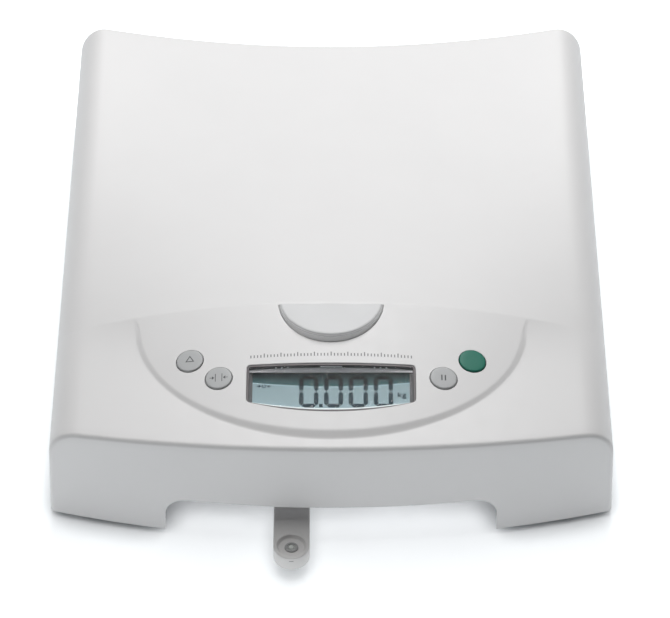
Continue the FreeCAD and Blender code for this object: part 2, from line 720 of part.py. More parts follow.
def door_pin_back():
    """Distance back of the battery door's hinge pin."""
    return BAY_FRONT_BACK + BAY_LEN + BAY_WALL + DOOR_KNUCKLE_R + DOOR_GAP


def cut_battery_opening(pan):
    """Open the floor for the battery door and add the lugs that hold its hinge pin."""
    half = bay_half()
    back = door_pin_back()
    pan = pan.cut(block(-half, half, BAY_FRONT_BACK, BAY_FRONT_BACK + BAY_LEN, 0, FLOOR_TOP_Z + 1))
    catch = DOOR_CATCH_HALF + DOOR_CATCH_PLAY
    pan = pan.cut(block(-catch, catch, BAY_FRONT_BACK - DOOR_CATCH_OUT - DOOR_CATCH_PLAY, BAY_FRONT_BACK + 1,
                        0, FLOOR_TOP_Z + 1))
    for side in (-1, 1):
        x = side * DOOR_KNUCKLE_X
        reach = DOOR_KNUCKLE_W / 2 + DOOR_GAP
        pan = pan.cut(block(x - reach, x + reach, BAY_FRONT_BACK + BAY_LEN - 1,
                            back + DOOR_KNUCKLE_R + DOOR_GAP, 0, FLOOR_TOP_Z + 1))
        x = side * DOOR_LUG_X
        lug = block(x - DOOR_LUG_W / 2, x + DOOR_LUG_W / 2, back - DOOR_LUG_HALF, back + DOOR_LUG_HALF,
                    FLOOR_Z, DOOR_PIN_Z + DOOR_LUG_HALF)
        pan = pan.fuse(lug)
    return pan.cut(cross_rod(DOOR_PIN_R, -door_pin_half(), door_pin_half(), back, DOOR_PIN_Z))


def door_pin_half():
    """Half length of the hinge pin: it ends inside the outer lugs."""
    return DOOR_LUG_X + DOOR_LUG_W / 2 - 1.0


def make_chassis_plate():
    x, front, rear = PLATE_HALF, PLATE_FRONT_BACK, PLATE_REAR_BACK
    plate = block(-x, x, front, rear, PLATE_Z, PLATE_TOP_Z + PLATE_LIP)
    plate = round_edges(plate, PLATE_CORNER_R, upright)
    pocket = block(-x + PLATE_T, x - PLATE_T, front + PLATE_T, rear - PLATE_T,
                   PLATE_TOP_Z, PLATE_TOP_Z + PLATE_LIP + 1)
    plate = plate.cut(round_edges(pocket, PLATE_CORNER_R - PLATE_T, upright))
    for cx, back, ahead in CORNERS.values():
        for n in (0, 1):
            y = back + ahead * (CELL_REACH - CELL_SCREW_END - n * CELL_SCREW_PITCH)
            plate = plate.cut(rod(CELL_SCREW_R + HOLE_PLAY, cx, y, PLATE_Z - 1, PLATE_TOP_Z + 1))
    for cx, back in mirrored_pairs(CHASSIS_SCREWS):
        plate = plate.cut(rod(SCREW_R + HOLE_PLAY, cx, back, PLATE_Z - 1, PLATE_TOP_Z + 1))
    for cx in (-PLATE_HOLE_X, 0.0, PLATE_HOLE_X):
        plate = plate.cut(rod(PLATE_HOLE_R, cx, PLATE_HOLE_BACK, PLATE_Z - 1, PLATE_TOP_Z + 1))
    for cx in (-LEAD_HOLE_X, LEAD_HOLE_X):
        plate = plate.cut(rod(LEAD_HOLE_R, cx, MAIN_FRONT_BACK - LEAD_HOLE_AHEAD, PLATE_Z - 1, PLATE_TOP_Z + 1))
    for cx, back in main_board_holes():
        post = hollow_rod(STANDOFF_R, BOARD_SCREW_R, cx, back, PLATE_TOP_Z, MAIN_Z)
        plate = plate.fuse(post)
    for cx, back in guide_screws():
        plate = plate.cut(rod(SCREW_R - THREAD_GAP, cx, back, PLATE_Z - 1, PLATE_TOP_Z + 1))
    return plate


def screw(radius, head_r, head_h, x, back, tip_z, seat_z, head_up):
    """Pan-head screw with a cross slot; the head sits above or below its seat."""
    if head_up:
        head = rod(head_r, x, back, seat_z, seat_z + head_h)
        outer = seat_z + head_h
        slot_z = (outer - head_h * 0.5, outer + 0.1)
    else:
        head = rod(head_r, x, back, seat_z - head_h, seat_z)
        outer = seat_z - head_h
        slot_z = (outer - 0.1, outer + head_h * 0.5)
    body = head.fuse(rod(radius, x, back, min(tip_z, seat_z), max(tip_z, seat_z)))
    arm, thick = head_r * 0.55, head_r * 0.13
    body = body.cut(block(x - arm, x + arm, back - thick, back + thick, *slot_z))
    return body.cut(block(x - thick, x + thick, back - arm, back + arm, *slot_z)).removeSplitter()


def make_cover_screws():
    thread = SCREW_R - THREAD_GAP
    return group(screw(thread, SCREW_HEAD_R, SCREW_HEAD_H, x, back, FLOOR_TOP_Z + SCREW_DEPTH,
                       FLOOR_Z + SCREW_SINK, False) for x, back in mirrored_pairs(COVER_SCREWS))


def make_chassis_screws():
    thread = SCREW_R - THREAD_GAP
    return group(screw(thread, SCREW_HEAD_R, SCREW_HEAD_H, x, back, PLATE_Z - SCREW_DEPTH,
                       PLATE_TOP_Z, True) for x, back in mirrored_pairs(CHASSIS_SCREWS))


# ================================================================ load cells and feet
def cell_span(back, ahead, near, far):
    """Ordered distances back of a stretch of load cell, measured from the foot's axis."""
    ends = sorted((back + ahead * near, back + ahead * far))
    return ends[0], ends[1]


def make_load_cell(corner):
    x, back, ahead = CORNERS[corner]
    b0, b1 = cell_span(back, ahead, -CELL_END, CELL_REACH)
    bar = block(x - CELL_W / 2, x + CELL_W / 2, b0, b1, CELL_LOW_Z, CELL_TOP_Z)
    middle_z = CELL_LOW_Z + CELL_W / 2
    m0, m1 = cell_span(back, ahead, CELL_FLEX_NEAR, CELL_FLEX_FAR)
    for b in (m0, m1):
        bar = bar.cut(cross_rod(CELL_FLEX_R, x - CELL_W, x + CELL_W, b, middle_z))
    bar = bar.cut(block(x - CELL_W, x + CELL_W, m0, m1, middle_z - CELL_FLEX_SLOT / 2,
                        middle_z + CELL_FLEX_SLOT / 2))
    bar = bar.cut(rod(CELL_BORE_R, x, back, 0, PLATE_Z))
    for n in (0, 1):
        b = back + ahead * (CELL_REACH - CELL_SCREW_END - n * CELL_SCREW_PITCH)
        bar = bar.cut(rod(CELL_SCREW_R, x, b, 0, PLATE_Z))
    return bar


def make_cell_spacers():
    pads = []
    for x, back, ahead in CORNERS.values():
        near = CELL_REACH - CELL_SCREW_PITCH - 2 * CELL_SCREW_END
        b0, b1 = cell_span(back, ahead, near, CELL_REACH)
        pad = block(x - CELL_W / 2, x + CELL_W / 2, b0, b1, CELL_TOP_Z, PLATE_Z)
        for n in (0, 1):
            b = back + ahead * (CELL_REACH - CELL_SCREW_END - n * CELL_SCREW_PITCH)
            pad = pad.cut(rod(CELL_SCREW_R + HOLE_PLAY, x, b, 0, PLATE_TOP_Z))
        pads.append(pad)
    return group(pads)


def make_cell_screws():
    screws = []
    for x, back, ahead in CORNERS.values():
        for n in (0, 1):
            b = back + ahead * (CELL_REACH - CELL_SCREW_END - n * CELL_SCREW_PITCH)
            screws.append(screw(CELL_SCREW_R - THREAD_GAP, CELL_SCREW_HEAD_R, CELL_SCREW_HEAD_H, x, b,
                                CELL_LOW_Z + 2.0, PLATE_TOP_Z, True))
    return group(screws)


def make_foot_pad(corner):
    x, back, _ = CORNERS[corner]
    pad = rod(PAD_R, x, back, 0, PAD_H)
    pad = round_edges(pad, 0.8, lambda e: e.Length > 60)
    return pad.cut(rod(STUD_R + 0.15, x, back, PAD_H - PAD_SOCKET_DEPTH, PAD_H + 1))


def make_foot_screw(corner):
    x, back, _ = CORNERS[corner]
    low = PAD_H + FOOT_PLAY
    top = low + WHEEL_H
    bevel = WHEEL_BEVEL
    rim = [V(0, 0, low), V(WHEEL_R - bevel, 0, low), V(WHEEL_R, 0, low + bevel),
           V(WHEEL_R, 0, top - bevel), V(WHEEL_R - bevel, 0, top), V(0, 0, top)]
    wheel = Part.Face(Part.makePolygon(rim + rim[:1])).revolve(V(0, 0, 0), V(0, 0, 1), 360)
    grooves = []
    for n in range(WHEEL_GROOVES):
        angle = 2 * math.pi * (n + 0.5) / WHEEL_GROOVES
        centre = V(WHEEL_R + GROOVE_OUT, 0, 0)
        centre = FreeCAD.Rotation(V(0, 0, 1), math.degrees(angle)).multVec(centre)
        grooves.append(Part.makeCylinder(GROOVE_R, top + 1, centre))
    wheel = wheel.cut(grooves)
    stud = Part.makeCylinder(STUD_R, CELL_TOP_Z + STUD_TOP_OVER - PAD_H + PAD_SOCKET_DEPTH - 0.1,
                             V(0, 0, PAD_H - PAD_SOCKET_DEPTH + 0.1))
    screw_shape = wheel.fuse(stud)
    screw_shape.translate(at(x, back, 0))
    return screw_shape


# ================================================================ display and keys
def make_display_bezel():
    low = -BEZEL_DEPTH
    outer = window_prism(BEZEL_FIT, low, 8.0)
    flange_w = panel_w(WINDOW_HALF + BEZEL_FLANGE) - WALL - BEZEL_FLANGE_GAP
    flange = window_prism(-BEZEL_FLANGE, flange_w - BEZEL_FLANGE_T, flange_w)
    body = outer.fuse(flange).cut(window_prism(BEZEL_FIT + BEZEL_WALL, low - 1, 9.0))
    return on_panel(body.common(under_panel(BEZEL_SINK, low - 5.0)))


def make_display_window():
    prism = window_prism(BEZEL_FIT + BEZEL_WALL + LENS_FIT, -BEZEL_DEPTH, 8.0)
    lens = prism.common(under_panel(LENS_SINK, -20.0)).cut(under_panel(LENS_SINK + LENS_T, -20.0))
    return on_panel(lens)


def lcd_extent():
    """Low and high corner of the display glass in the panel's frame, x and y."""
    half = WINDOW_HALF + LCD_MARGIN
    return -half, half, WINDOW_LOW - WINDOW_BOW - LCD_MARGIN + 1.0, WINDOW_UP + LCD_MARGIN


def panel_box(x0, x1, y0, y1, w0, w1):
    """Box in the panel's frame."""
    return Part.makeBox(x1 - x0, y1 - y0, w1 - w0, V(x0, y0, w0))


def make_lcd_glass():
    x0, x1, y0, y1 = lcd_extent()
    top = -BEZEL_DEPTH
    glass = panel_box(x0, x1, y0, y1, top - LCD_T, top)
    ledge = panel_box(x0 - 1, x1 + 1, y1 - LCD_LEDGE, y1 + 1, top - LCD_T / 2, top + 1)
    return on_panel(glass.cut(ledge))


def make_lcd_holder():
    x0, x1, y0, y1 = lcd_extent()
    top = -BEZEL_DEPTH
    low = BOARD_W
    edge = LCD_FIT + HOLDER_WALL
    tray = panel_box(x0 - edge, x1 + edge, y0 - edge, y1 + edge, low, top + HOLDER_LIP)
    tray = round_edges(tray, 1.2, upright)
    tray = tray.cut(panel_box(x0 - LCD_FIT, x1 + LCD_FIT, y0 - LCD_FIT, y1 + LCD_FIT,
                              top - LCD_T, top + 2 * HOLDER_LIP))
    inner = panel_box(x0 + HOLDER_SHELF_W, x1 - HOLDER_SHELF_W, y0 + HOLDER_SHELF_W, y1 - HOLDER_SHELF_W,
                      low - 1, top - LCD_T - HOLDER_SHELF)
    return on_panel(tray.cut(inner))


def make_display_board():
    board = panel_box(-BOARD_HALF, BOARD_HALF, BOARD_LOW, BOARD_UP, BOARD_W - BOARD_T, BOARD_W)
    board = round_edges(board, 4.0, upright)
    for x, y in mirrored_pairs(BOARD_SCREWS):
        board = board.cut(panel_rod(BOARD_SCREW_R + HOLE_PLAY, V(x, y, 0), BOARD_W - 5, BOARD_W + 5))
    under = BOARD_W - BOARD_T
    for x in (-CHIP_X, 0.0, CHIP_X):
        board = board.fuse(panel_box(x - CHIP_W / 2, x + CHIP_W / 2, -CHIP_W / 2, CHIP_W / 2,
                                     under - CHIP_H, under))
    return on_panel(board)


def make_display_screws():
    screws = []
    for x, y in mirrored_pairs(BOARD_SCREWS):
        seat = BOARD_W - BOARD_T
        shank = panel_rod(BOARD_SCREW_R - THREAD_GAP, V(x, y, 0), seat, BOARD_W + BOARD_SCREW_DEPTH)
        head = panel_rod(BOARD_HEAD_R, V(x, y, 0), seat - BOARD_HEAD_H, seat)
        slot = panel_box(x - 1.4, x + 1.4, y - 0.3, y + 0.3, seat - BOARD_HEAD_H - 0.1, seat - 0.8)
        screws.append(on_panel(shank.fuse(head).cut(slot)))
    return group(screws)


def key_cap_low(name):
    """Underside of a key cap along the panel's normal."""
    return panel_w(KEYS[name][0]) + KEY_PROUD - KEY_H


def make_key(name):
    centre = key_place(name)
    low = key_cap_low(name)
    cap = panel_rod(KEY_R, centre, low, 4.0).common(under_panel(-KEY_PROUD, -20.0))
    flange_w = panel_w(abs(centre.x) + KEY_FLANGE_R) - WALL - KEY_FLANGE_GAP
    flange = panel_rod(KEY_FLANGE_R, centre, flange_w - KEY_FLANGE_T, flange_w)
    stem = panel_rod(KEY_STEM_R, centre, BOARD_W + DOME_H, low + 1)
    return on_panel(join([cap, flange, stem]))


def make_key_dome(name):
    centre = key_place(name)
    skirt = Part.makeCone(DOME_R, KEY_STEM_R + 0.6, DOME_H - 0.1, V(centre.x, centre.y, BOARD_W))
    inside = Part.makeCone(DOME_R - DOME_WALL, KEY_STEM_R - 0.4, DOME_H - DOME_WALL - 0.2,
                           V(centre.x, centre.y, BOARD_W))
    return on_panel(skirt.cut(inside))


# ================================================================ tray release
def make_release_button():
    shell = button_prism(BUTTON_R, BUTTON_FLAT_BACK, BUTTON_SKIRT_Z, BUTTON_TOP_Z)
    shell = shell.common(button_lean(0.0))

    def top_rim(edge):
        points = [v.Point for v in edge.Vertexes]
        on_top = all(abs(p.z - BUTTON_TOP_Z) < 0.01 for p in points)
        return on_top and "Circle" in str(edge.Curve) and edge.Length > BUTTON_TOP_R

    shell = round_edges(shell, BUTTON_EDGE_R, top_rim)
    hollow = button_prism(BUTTON_TOP_R - BUTTON_WALL, BUTTON_FLAT_BACK - BUTTON_WALL,
                          BUTTON_SKIRT_Z - 1, BUTTON_TOP_Z - BUTTON_WALL)
    shell = shell.cut(hollow)
    flange = button_prism(BUTTON_R + BUTTON_FLANGE, BUTTON_FLAT_BACK, BUTTON_SKIRT_Z,
                          BUTTON_SKIRT_Z + BUTTON_FLANGE_T)
    shell = shell.fuse(flange.cut(hollow))
    for side in (-1, 1):
        shell = shell.fuse(rod(POST_R, side * POST_X, POST_BACK, POST_LOW_Z,
                               BUTTON_TOP_Z - BUTTON_WALL + 0.5))
    return shell.removeSplitter()


def guide_screws():
    """Places of the two screws that hold the release guide."""
    middle = (GUIDE_FRONT_BACK + GUIDE_REAR_BACK) / 2
    return [(side * (GUIDE_HALF + GUIDE_FOOT * 0.55), middle) for side in (-1, 1)]


def make_release_guide():
    half = GUIDE_HALF
    b0, b1 = GUIDE_FRONT_BACK, GUIDE_REAR_BACK
    parts = [block(-half, half, b0, b1, GUIDE_Z, GUIDE_Z + GUIDE_T)]
    for side in (-1, 1):
        x0, x1 = sorted((side * half, side * (half - GUIDE_T)))
        parts.append(block(x0, x1, b0, b1, PLATE_TOP_Z, GUIDE_Z + GUIDE_T))
        f0, f1 = sorted((side * (half - GUIDE_T), side * (half + GUIDE_FOOT)))
        parts.append(block(f0, f1, b0, b1, PLATE_TOP_Z, PLATE_TOP_Z + GUIDE_T))
        parts.append(rod(BUSH_R, side * POST_X, POST_BACK, BUSH_LOW_Z, BUSH_TOP_Z))
    guide = join(parts)
    for side in (-1, 1):
        guide = guide.cut(rod(POST_R + POST_GAP, side * POST_X, POST_BACK, BUSH_LOW_Z - 1, BUSH_TOP_Z + 1))
    for x, back in guide_screws():
        guide = guide.cut(rod(SCREW_R + HOLE_PLAY, x, back, PLATE_TOP_Z - 1, PLATE_TOP_Z + GUIDE_T + 1))
    return guide


def make_guide_screws():
    seat = PLATE_TOP_Z + GUIDE_T
    return group(screw(SCREW_R - 2 * THREAD_GAP, SCREW_HEAD_R, SCREW_HEAD_H, x, back, PLATE_Z - 1.5,
                       seat, True) for x, back in guide_screws())


def make_release_spring(side):
    return coil(SPRING_R, SPRING_WIRE_R, side * POST_X, POST_BACK, BUSH_TOP_Z,
                BUTTON_TOP_Z - BUTTON_WALL, SPRING_TURNS)


# ================================================================ spirit-level arm
def make_level_arm():
    tip = -ARM_OUT + ARM_W / 2
    r = ARM_W / 2
    low = ARM_TOP_Z - ARM_T
    strap = block(ARM_X - r, ARM_X + r, tip, ARM_PIVOT_BACK, low, ARM_TOP_Z)
    knuckle = rod(r, ARM_X, ARM_PIVOT_BACK, low, ARM_TOP_Z)
    boss = rod(r, ARM_X, tip, ARM_TOP_Z - BOSS_H, ARM_TOP_Z)
    boss = round_edges(boss, 0.6, lambda e: "Circle" in str(e.Curve)
                       and abs(e.Vertexes[0].Z - (ARM_TOP_Z - BOSS_H)) < 0.01)
    arm = join([strap, knuckle, boss])
    dish = Part.makeCone(DISH_R - 0.9, DISH_R + 0.1, DISH_DEPTH + 0.1, at(ARM_X, tip, ARM_TOP_Z - DISH_DEPTH))
    arm = arm.cut(dish)
    arm = arm.cut(rod(VIAL_R + 0.1, ARM_X, tip, ARM_TOP_Z - DISH_DEPTH - VIAL_H, ARM_TOP_Z))
    arm = arm.cut(rod(PIVOT_R + PIVOT_GAP, ARM_X, ARM_PIVOT_BACK, 0, NOTCH_TOP_Z))
    arm = arm.cut(rod(PIVOT_SINK_R, ARM_X, ARM_PIVOT_BACK, 0, low + PIVOT_SINK_H))
    return arm


def make_level_vial():
    tip = -ARM_OUT + ARM_W / 2
    low = ARM_TOP_Z - DISH_DEPTH - VIAL_H
    vial = rod(VIAL_R + 0.05, ARM_X, tip, low, ARM_TOP_Z - DISH_DEPTH + 0.6)
    return round_edges(vial, 0.4, lambda e: "Circle" in str(e.Curve) and e.Vertexes[0].Z > ARM_TOP_Z - 2)


def make_pivot_screw():
    low = ARM_TOP_Z - ARM_T
    seat = low + PIVOT_SINK_H - FOOT_PLAY
    under = seat - PIVOT_HEAD_H
    shoulder = rod(PIVOT_R, ARM_X, ARM_PIVOT_BACK, seat, ARM_TOP_Z + PIVOT_BOSS_GAP)
    thread = rod(PIVOT_THREAD_R, ARM_X, ARM_PIVOT_BACK, ARM_TOP_Z, NOTCH_TOP_Z)
    head = rod(PIVOT_HEAD_R, ARM_X, ARM_PIVOT_BACK, under, seat)
    slot = block(ARM_X - 3, ARM_X + 3, ARM_PIVOT_BACK - 0.5, ARM_PIVOT_BACK + 0.5, under - 1, under + 0.8)
    return join([shoulder, thread, head]).cut(slot)


# ================================================================ power and electronics
def make_battery_box():
    half = bay_half()
    b0, b1 = BAY_FRONT_BACK, BAY_FRONT_BACK + BAY_LEN
    w = BAY_WALL
    box = block(-half - w, half + w, b0 - w, b1 + w, FLOOR_TOP_Z, BAY_ROOF_Z + w)
    box = box.cut(block(-half, half, b0, b1, FLOOR_TOP_Z - 1, BAY_ROOF_Z))
    for n in range(1, CELL_AA_COUNT):
        x = (n - CELL_AA_COUNT / 2) * CELL_AA_PITCH
        box = box.fuse(block(x - 0.3, x + 0.3, b0 + 8, b1 - 8, BAY_ROOF_Z - BAY_RIB, BAY_ROOF_Z + 0.5))
    return box


def cell_x(n):
    """Centre line of a battery cell."""
    return (n - (CELL_AA_COUNT - 1) / 2) * CELL_AA_PITCH


def cell_start(n):
    """Distance back of the front end of a cell's can, and the way its positive end points."""
    forward = n % 2 == 0
    return BAY_FRONT_BACK + CONTACT_T + (CELL_AA_NUB if forward else BAY_SLACK), forward


def make_battery_cells():
    cells = []
    for n in range(CELL_AA_COUNT):
        start, forward = cell_start(n)
        can = along_rod(CELL_AA_R, cell_x(n), start, start + CELL_AA_LEN, CELL_AA_Z)
        can = round_edges(can, 0.6, lambda e: "Circle" in str(e.Curve))
        if forward:
            nub = along_rod(CELL_AA_NUB_R, cell_x(n), start - CELL_AA_NUB, start + 1, CELL_AA_Z)
        else:
            end = start + CELL_AA_LEN
            nub = along_rod(CELL_AA_NUB_R, cell_x(n), end - 1, end + CELL_AA_NUB, CELL_AA_Z)
        cells.append(can.fuse(nub))
    return group(cells)


def make_battery_contacts():
    """Contact plates at both ends of each cell, with a coil at the negative end."""
    pieces = []
    for n in range(CELL_AA_COUNT):
        start, forward = cell_start(n)
        x = cell_x(n)
        for b in (BAY_FRONT_BACK, BAY_FRONT_BACK + BAY_LEN - CONTACT_T):
            pieces.append(block(x - CONTACT_HALF, x + CONTACT_HALF, b, b + CONTACT_T,
                                CELL_AA_Z - CONTACT_HALF, CELL_AA_Z + CONTACT_HALF))
        spring = coil(CONTACT_COIL_R, SPRING_WIRE_R, 0, 0, 0.0, BAY_SLACK - SPRING_WIRE_R, 3)
        spring.translate(at(0, 0, 0).multiply(-1))
        spring.rotate(V(0, 0, 0), V(1, 0, 0), -90)
        b = start + CELL_AA_LEN if forward else BAY_FRONT_BACK + CONTACT_T
        spring.translate(at(x, b, CELL_AA_Z))
        pieces.append(spring)
    return group(pieces)


def make_battery_door():
    half = bay_half() - DOOR_GAP
    b0, b1 = BAY_FRONT_BACK + DOOR_GAP, BAY_FRONT_BACK + BAY_LEN - DOOR_SWING_GAP
    back = door_pin_back()
    parts = [block(-half, half, b0, b1, FLOOR_Z, FLOOR_Z + DOOR_T),
             block(-DOOR_CATCH_HALF, DOOR_CATCH_HALF, b0 - DOOR_CATCH_OUT, b0 + 1, FLOOR_Z, FLOOR_Z + 1.4)]
    for side in (-1, 1):
        x0 = side * DOOR_KNUCKLE_X - DOOR_KNUCKLE_W / 2
        parts.append(block(x0, x0 + DOOR_KNUCKLE_W, b1 - 1, back, FLOOR_Z, FLOOR_Z + DOOR_T))
        parts.append(cross_rod(DOOR_KNUCKLE_R, x0, x0 + DOOR_KNUCKLE_W, back, DOOR_PIN_Z))
    door = join(parts)
    door = door.cut(cross_rod(DOOR_PIN_R + DOOR_PIN_GAP, -half, half, back, DOOR_PIN_Z))
    for n in range(DOOR_GRIPS):
        grip = b0 + 6 + n * DOOR_GRIP_PITCH
        door = door.cut(block(-DOOR_GRIP_HALF, DOOR_GRIP_HALF, grip, grip + 1, FLOOR_Z - 1, FLOOR_Z + 0.5))
    return door


def make_door_pin():
    half = door_pin_half()
    return cross_rod(DOOR_PIN_R, -half, half, door_pin_back(), DOOR_PIN_Z)


def main_board_holes():
    """Screw places of the main board."""
    edge = BOARD_HOLE_IN
    return [(side * (MAIN_HALF - edge), back) for side in (-1, 1)
            for back in (MAIN_FRONT_BACK + edge, MAIN_REAR_BACK - edge)]


def make_main_board():
    board = block(-MAIN_HALF, MAIN_HALF, MAIN_FRONT_BACK, MAIN_REAR_BACK, MAIN_Z, MAIN_TOP_Z)
    board = round_edges(board, 2.5, upright)
    for x, back in main_board_holes():
        board = board.cut(rod(BOARD_SCREW_R + HOLE_PLAY, x, back, MAIN_Z - 1, MAIN_TOP_Z + 1))
    return board


def make_main_board_screws():
    return group(screw(BOARD_SCREW_R - THREAD_GAP, BOARD_HEAD_R, BOARD_HEAD_H, x, back,
                       MAIN_TOP_Z - BOARD_SCREW_DEPTH, MAIN_TOP_Z, True) for x, back in main_board_holes())


def make_board_parts():
    """Chips, capacitors, sounder and plug sockets on the main board."""
    z = MAIN_TOP_Z
    mid = (MAIN_FRONT_BACK + MAIN_REAR_BACK) / 2
    plug = MAIN_FRONT_BACK + 1
    parts = [
        block(-9, 9, mid - 9, mid + 9, z, z + 1.8),
        block(18, 28, mid - 4, mid + 4, z, z + 1.6),
        block(-30, -20, mid + 8, mid + 16, z, z + 1.6),
        rod(6.0, 34, mid + 18, z, z + 6.5),
        rod(4.0, -36, mid - 10, z, z + 9.0),
        rod(4.0, -26, mid - 10, z, z + 9.0),
        block(-SOCKET_W, SOCKET_W, plug, plug + SOCKET_L, z, z + SOCKET_H),
        block(14, 24, plug, plug + SOCKET_L, z, z + SOCKET_H),
    ]
    for side in (-1, 1):
        for b in (mid - 12, mid + 8):
            x0, x1 = sorted((side * (MAIN_HALF - 1 - SOCKET_L), side * (MAIN_HALF - 1)))
            parts.append(block(x0, x1, b, b + SOCKET_W, z, z + SOCKET_H))
    return group(parts)


def lead(points, radius):
    """Round cable along straight runs joined by tangent arcs."""
    edges = []
    here = points[0]
    for before, corner, after in zip(points, points[1:], points[2:]):
        to_before = before.sub(corner)
        to_after = after.sub(corner)
        turn = math.pi - to_before.getAngle(to_after)
        cut = 0.45 * min(to_before.Length, to_after.Length)
        a = corner.add(V(to_before).normalize().multiply(cut))
        b = corner.add(V(to_after).normalize().multiply(cut))
        inward = V(to_before).normalize().add(V(to_after).normalize()).normalize()
        bend = cut / math.tan(turn / 2)
        middle = corner.add(inward.multiply(bend / math.cos(turn / 2) - bend))
        edges.append(Part.makeLine(here, a))
        edges.append(Part.Arc(a, middle, b).toShape())
        here = b
    edges.append(Part.makeLine(here, points[-1]))
    path = Part.Wire(edges)
    start = points[1].sub(points[0])
    ring = Part.Wire([Part.makeCircle(radius, points[0], start)])
    return path.makePipeShell([ring], True, False)


def make_load_cell_leads():
    """Four-core leads from the load cells, clipped along the chassis to the main board."""
    z = PLATE_TOP_Z + LEAD_R + 0.6
    plug_z = MAIN_TOP_Z + SOCKET_H / 2
    mid = (MAIN_FRONT_BACK + MAIN_REAR_BACK) / 2
    start = FOOT_FRONT_BACK + CELL_REACH + 4
    bend = MAIN_FRONT_BACK - 36
    x = FOOT_X
    plug_x = MAIN_HALF - 0.4
    leads = []
    for side in (-1, 1):
        front = [at(side * (x - 8), start, z), at(side * (x - 22), start + 22, z),
                 at(side * (x - 20), (start + 22 + bend) / 2, z), at(side * (x - 23), bend, z),
                 at(side * (x - 32), bend + 32, z + 2), at(side * (MAIN_HALF + 14), bend + 50, plug_z - 1),
                 at(side * plug_x, mid - 8, plug_z)]
        rear = [at(side * (x - 8), mid - 32, z), at(side * (x - 20), mid - 16, z),
                at(side * (x - 34), mid - 2, z + 2), at(side * (MAIN_HALF + 14), mid + 9, plug_z - 1),
                at(side * plug_x, mid + 12, plug_z)]
        leads += [lead(front, LEAD_R), lead(rear, LEAD_R)]
    return group(leads)


def make_display_ribbon():
    """Flat ribbon cable from the display board back to the main board."""
    z_low = PLATE_TOP_Z + 1.0
    z_plug = MAIN_TOP_Z + SOCKET_H
    start = 62.0
    start_z = RIDGE_Z - PANEL_SLOPE * (RIDGE_BACK - start) + BOARD_W - BOARD_T - 7.9
    path = [(start, start_z), (start + 4, z_low + 8.0), (start + 12, z_low), (MAIN_FRONT_BACK - 14, z_low),
            (MAIN_FRONT_BACK - 5, z_plug), (MAIN_FRONT_BACK + 4, z_plug)]
    strips = []
    for (b0, z0), (b1, z1) in zip(path, path[1:]):
        edge = -RIBBON_W / 2
        points = [at(edge, b0, z0), at(edge, b1, z1), at(edge, b1, z1 + RIBBON_T), at(edge, b0, z0 + RIBBON_T)]
        strips.append(Part.Face(Part.makePolygon(points + points[:1])).extrude(V(RIBBON_W, 0, 0)))
    return join(strips)


def make_battery_leads():
    """Pair of wires from the battery box up through the chassis to the main board."""
    leads = []
    plug_z = MAIN_TOP_Z + SOCKET_H * 2 / 3
    start_x = bay_half() + BAY_WALL
    hole = LEAD_HOLE_X
    for n, x in enumerate((21.5, 16.5)):
        b = MAIN_FRONT_BACK - 3.0 * n
        points = [at(start_x, b - 40, BAY_ROOF_Z - 8), at(start_x + 18, b - 34, BAY_ROOF_Z - 6),
                  at(hole - 2, b - 23, PLATE_Z - 2), at(hole - 4, b - 15, PLATE_TOP_Z + 4),
                  at(58.0, b - 11, PLATE_TOP_Z + 5), at(34.0, b - 8, plug_z - 2),
                  at(x, MAIN_FRONT_BACK + 0.6, plug_z)]
        leads.append(lead(points, POWER_LEAD_R))
    return group(leads)


# ================================================================ output
def build():
    nodes = {
        "top_cover": make_top_cover(),
        "base_cover": make_base_cover(),
        "chassis_plate": make_chassis_plate(),
        "cover_screws": make_cover_screws(),
        "chassis_screws": make_chassis_screws(),
        "load_cell_spacers": make_cell_spacers(),
        "load_cell_screws": make_cell_screws(),
        "display_bezel": make_display_bezel(),
        "display_window": make_display_window(),
        "lcd_glass": make_lcd_glass(),
        "lcd_holder": make_lcd_holder(),
        "display_board": make_display_board(),
        "display_screws": make_display_screws(),
        "display_ribbon": make_display_ribbon(),
        "release_button": make_release_button(),
        "release_guide": make_release_guide(),
        "release_guide_screws": make_guide_screws(),
        "release_spring_left": make_release_spring(-1),
        "release_spring_right": make_release_spring(1),
        "level_arm": make_level_arm(),
        "level_vial": make_level_vial(),
        "level_pivot_screw": make_pivot_screw(),
        "battery_box": make_battery_box(),
        "battery_cells": make_battery_cells(),
        "battery_contacts": make_battery_contacts(),
        "battery_door": make_battery_door(),
        "battery_door_pin": make_door_pin(),
        "battery_leads": make_battery_leads(),
        "main_board": make_main_board(),
        "main_board_screws": make_main_board_screws(),
        "board_parts": make_board_parts(),
        "load_cell_leads": make_load_cell_leads(),
    }
    for corner in CORNERS:
        nodes["load_cell_" + corner] = make_load_cell(corner)
        nodes["foot_pad_" + corner] = make_foot_pad(corner)
        nodes["foot_screw_" + corner] = make_foot_screw(corner)
    for name in KEYS:
        nodes[name] = make_key(name)
        nodes[name + "_dome"] = make_key_dome(name)
    os.makedirs("parts", exist_ok=True)
    for name, shape in nodes.items():
        shape.exportStep("parts/" + name + ".step")
        box = shape.BoundBox
        print(f"{name:26s} solids {len(shape.Solids)} valid {shape.isValid()} volume {shape.Volume:9.0f} "
              f"x {box.XMin:7.1f} {box.XMax:7.1f} y {box.YMin:7.1f} {box.YMax:7.1f} "
              f"z {box.ZMin:6.1f} {box.ZMax:6.1f}")


build()
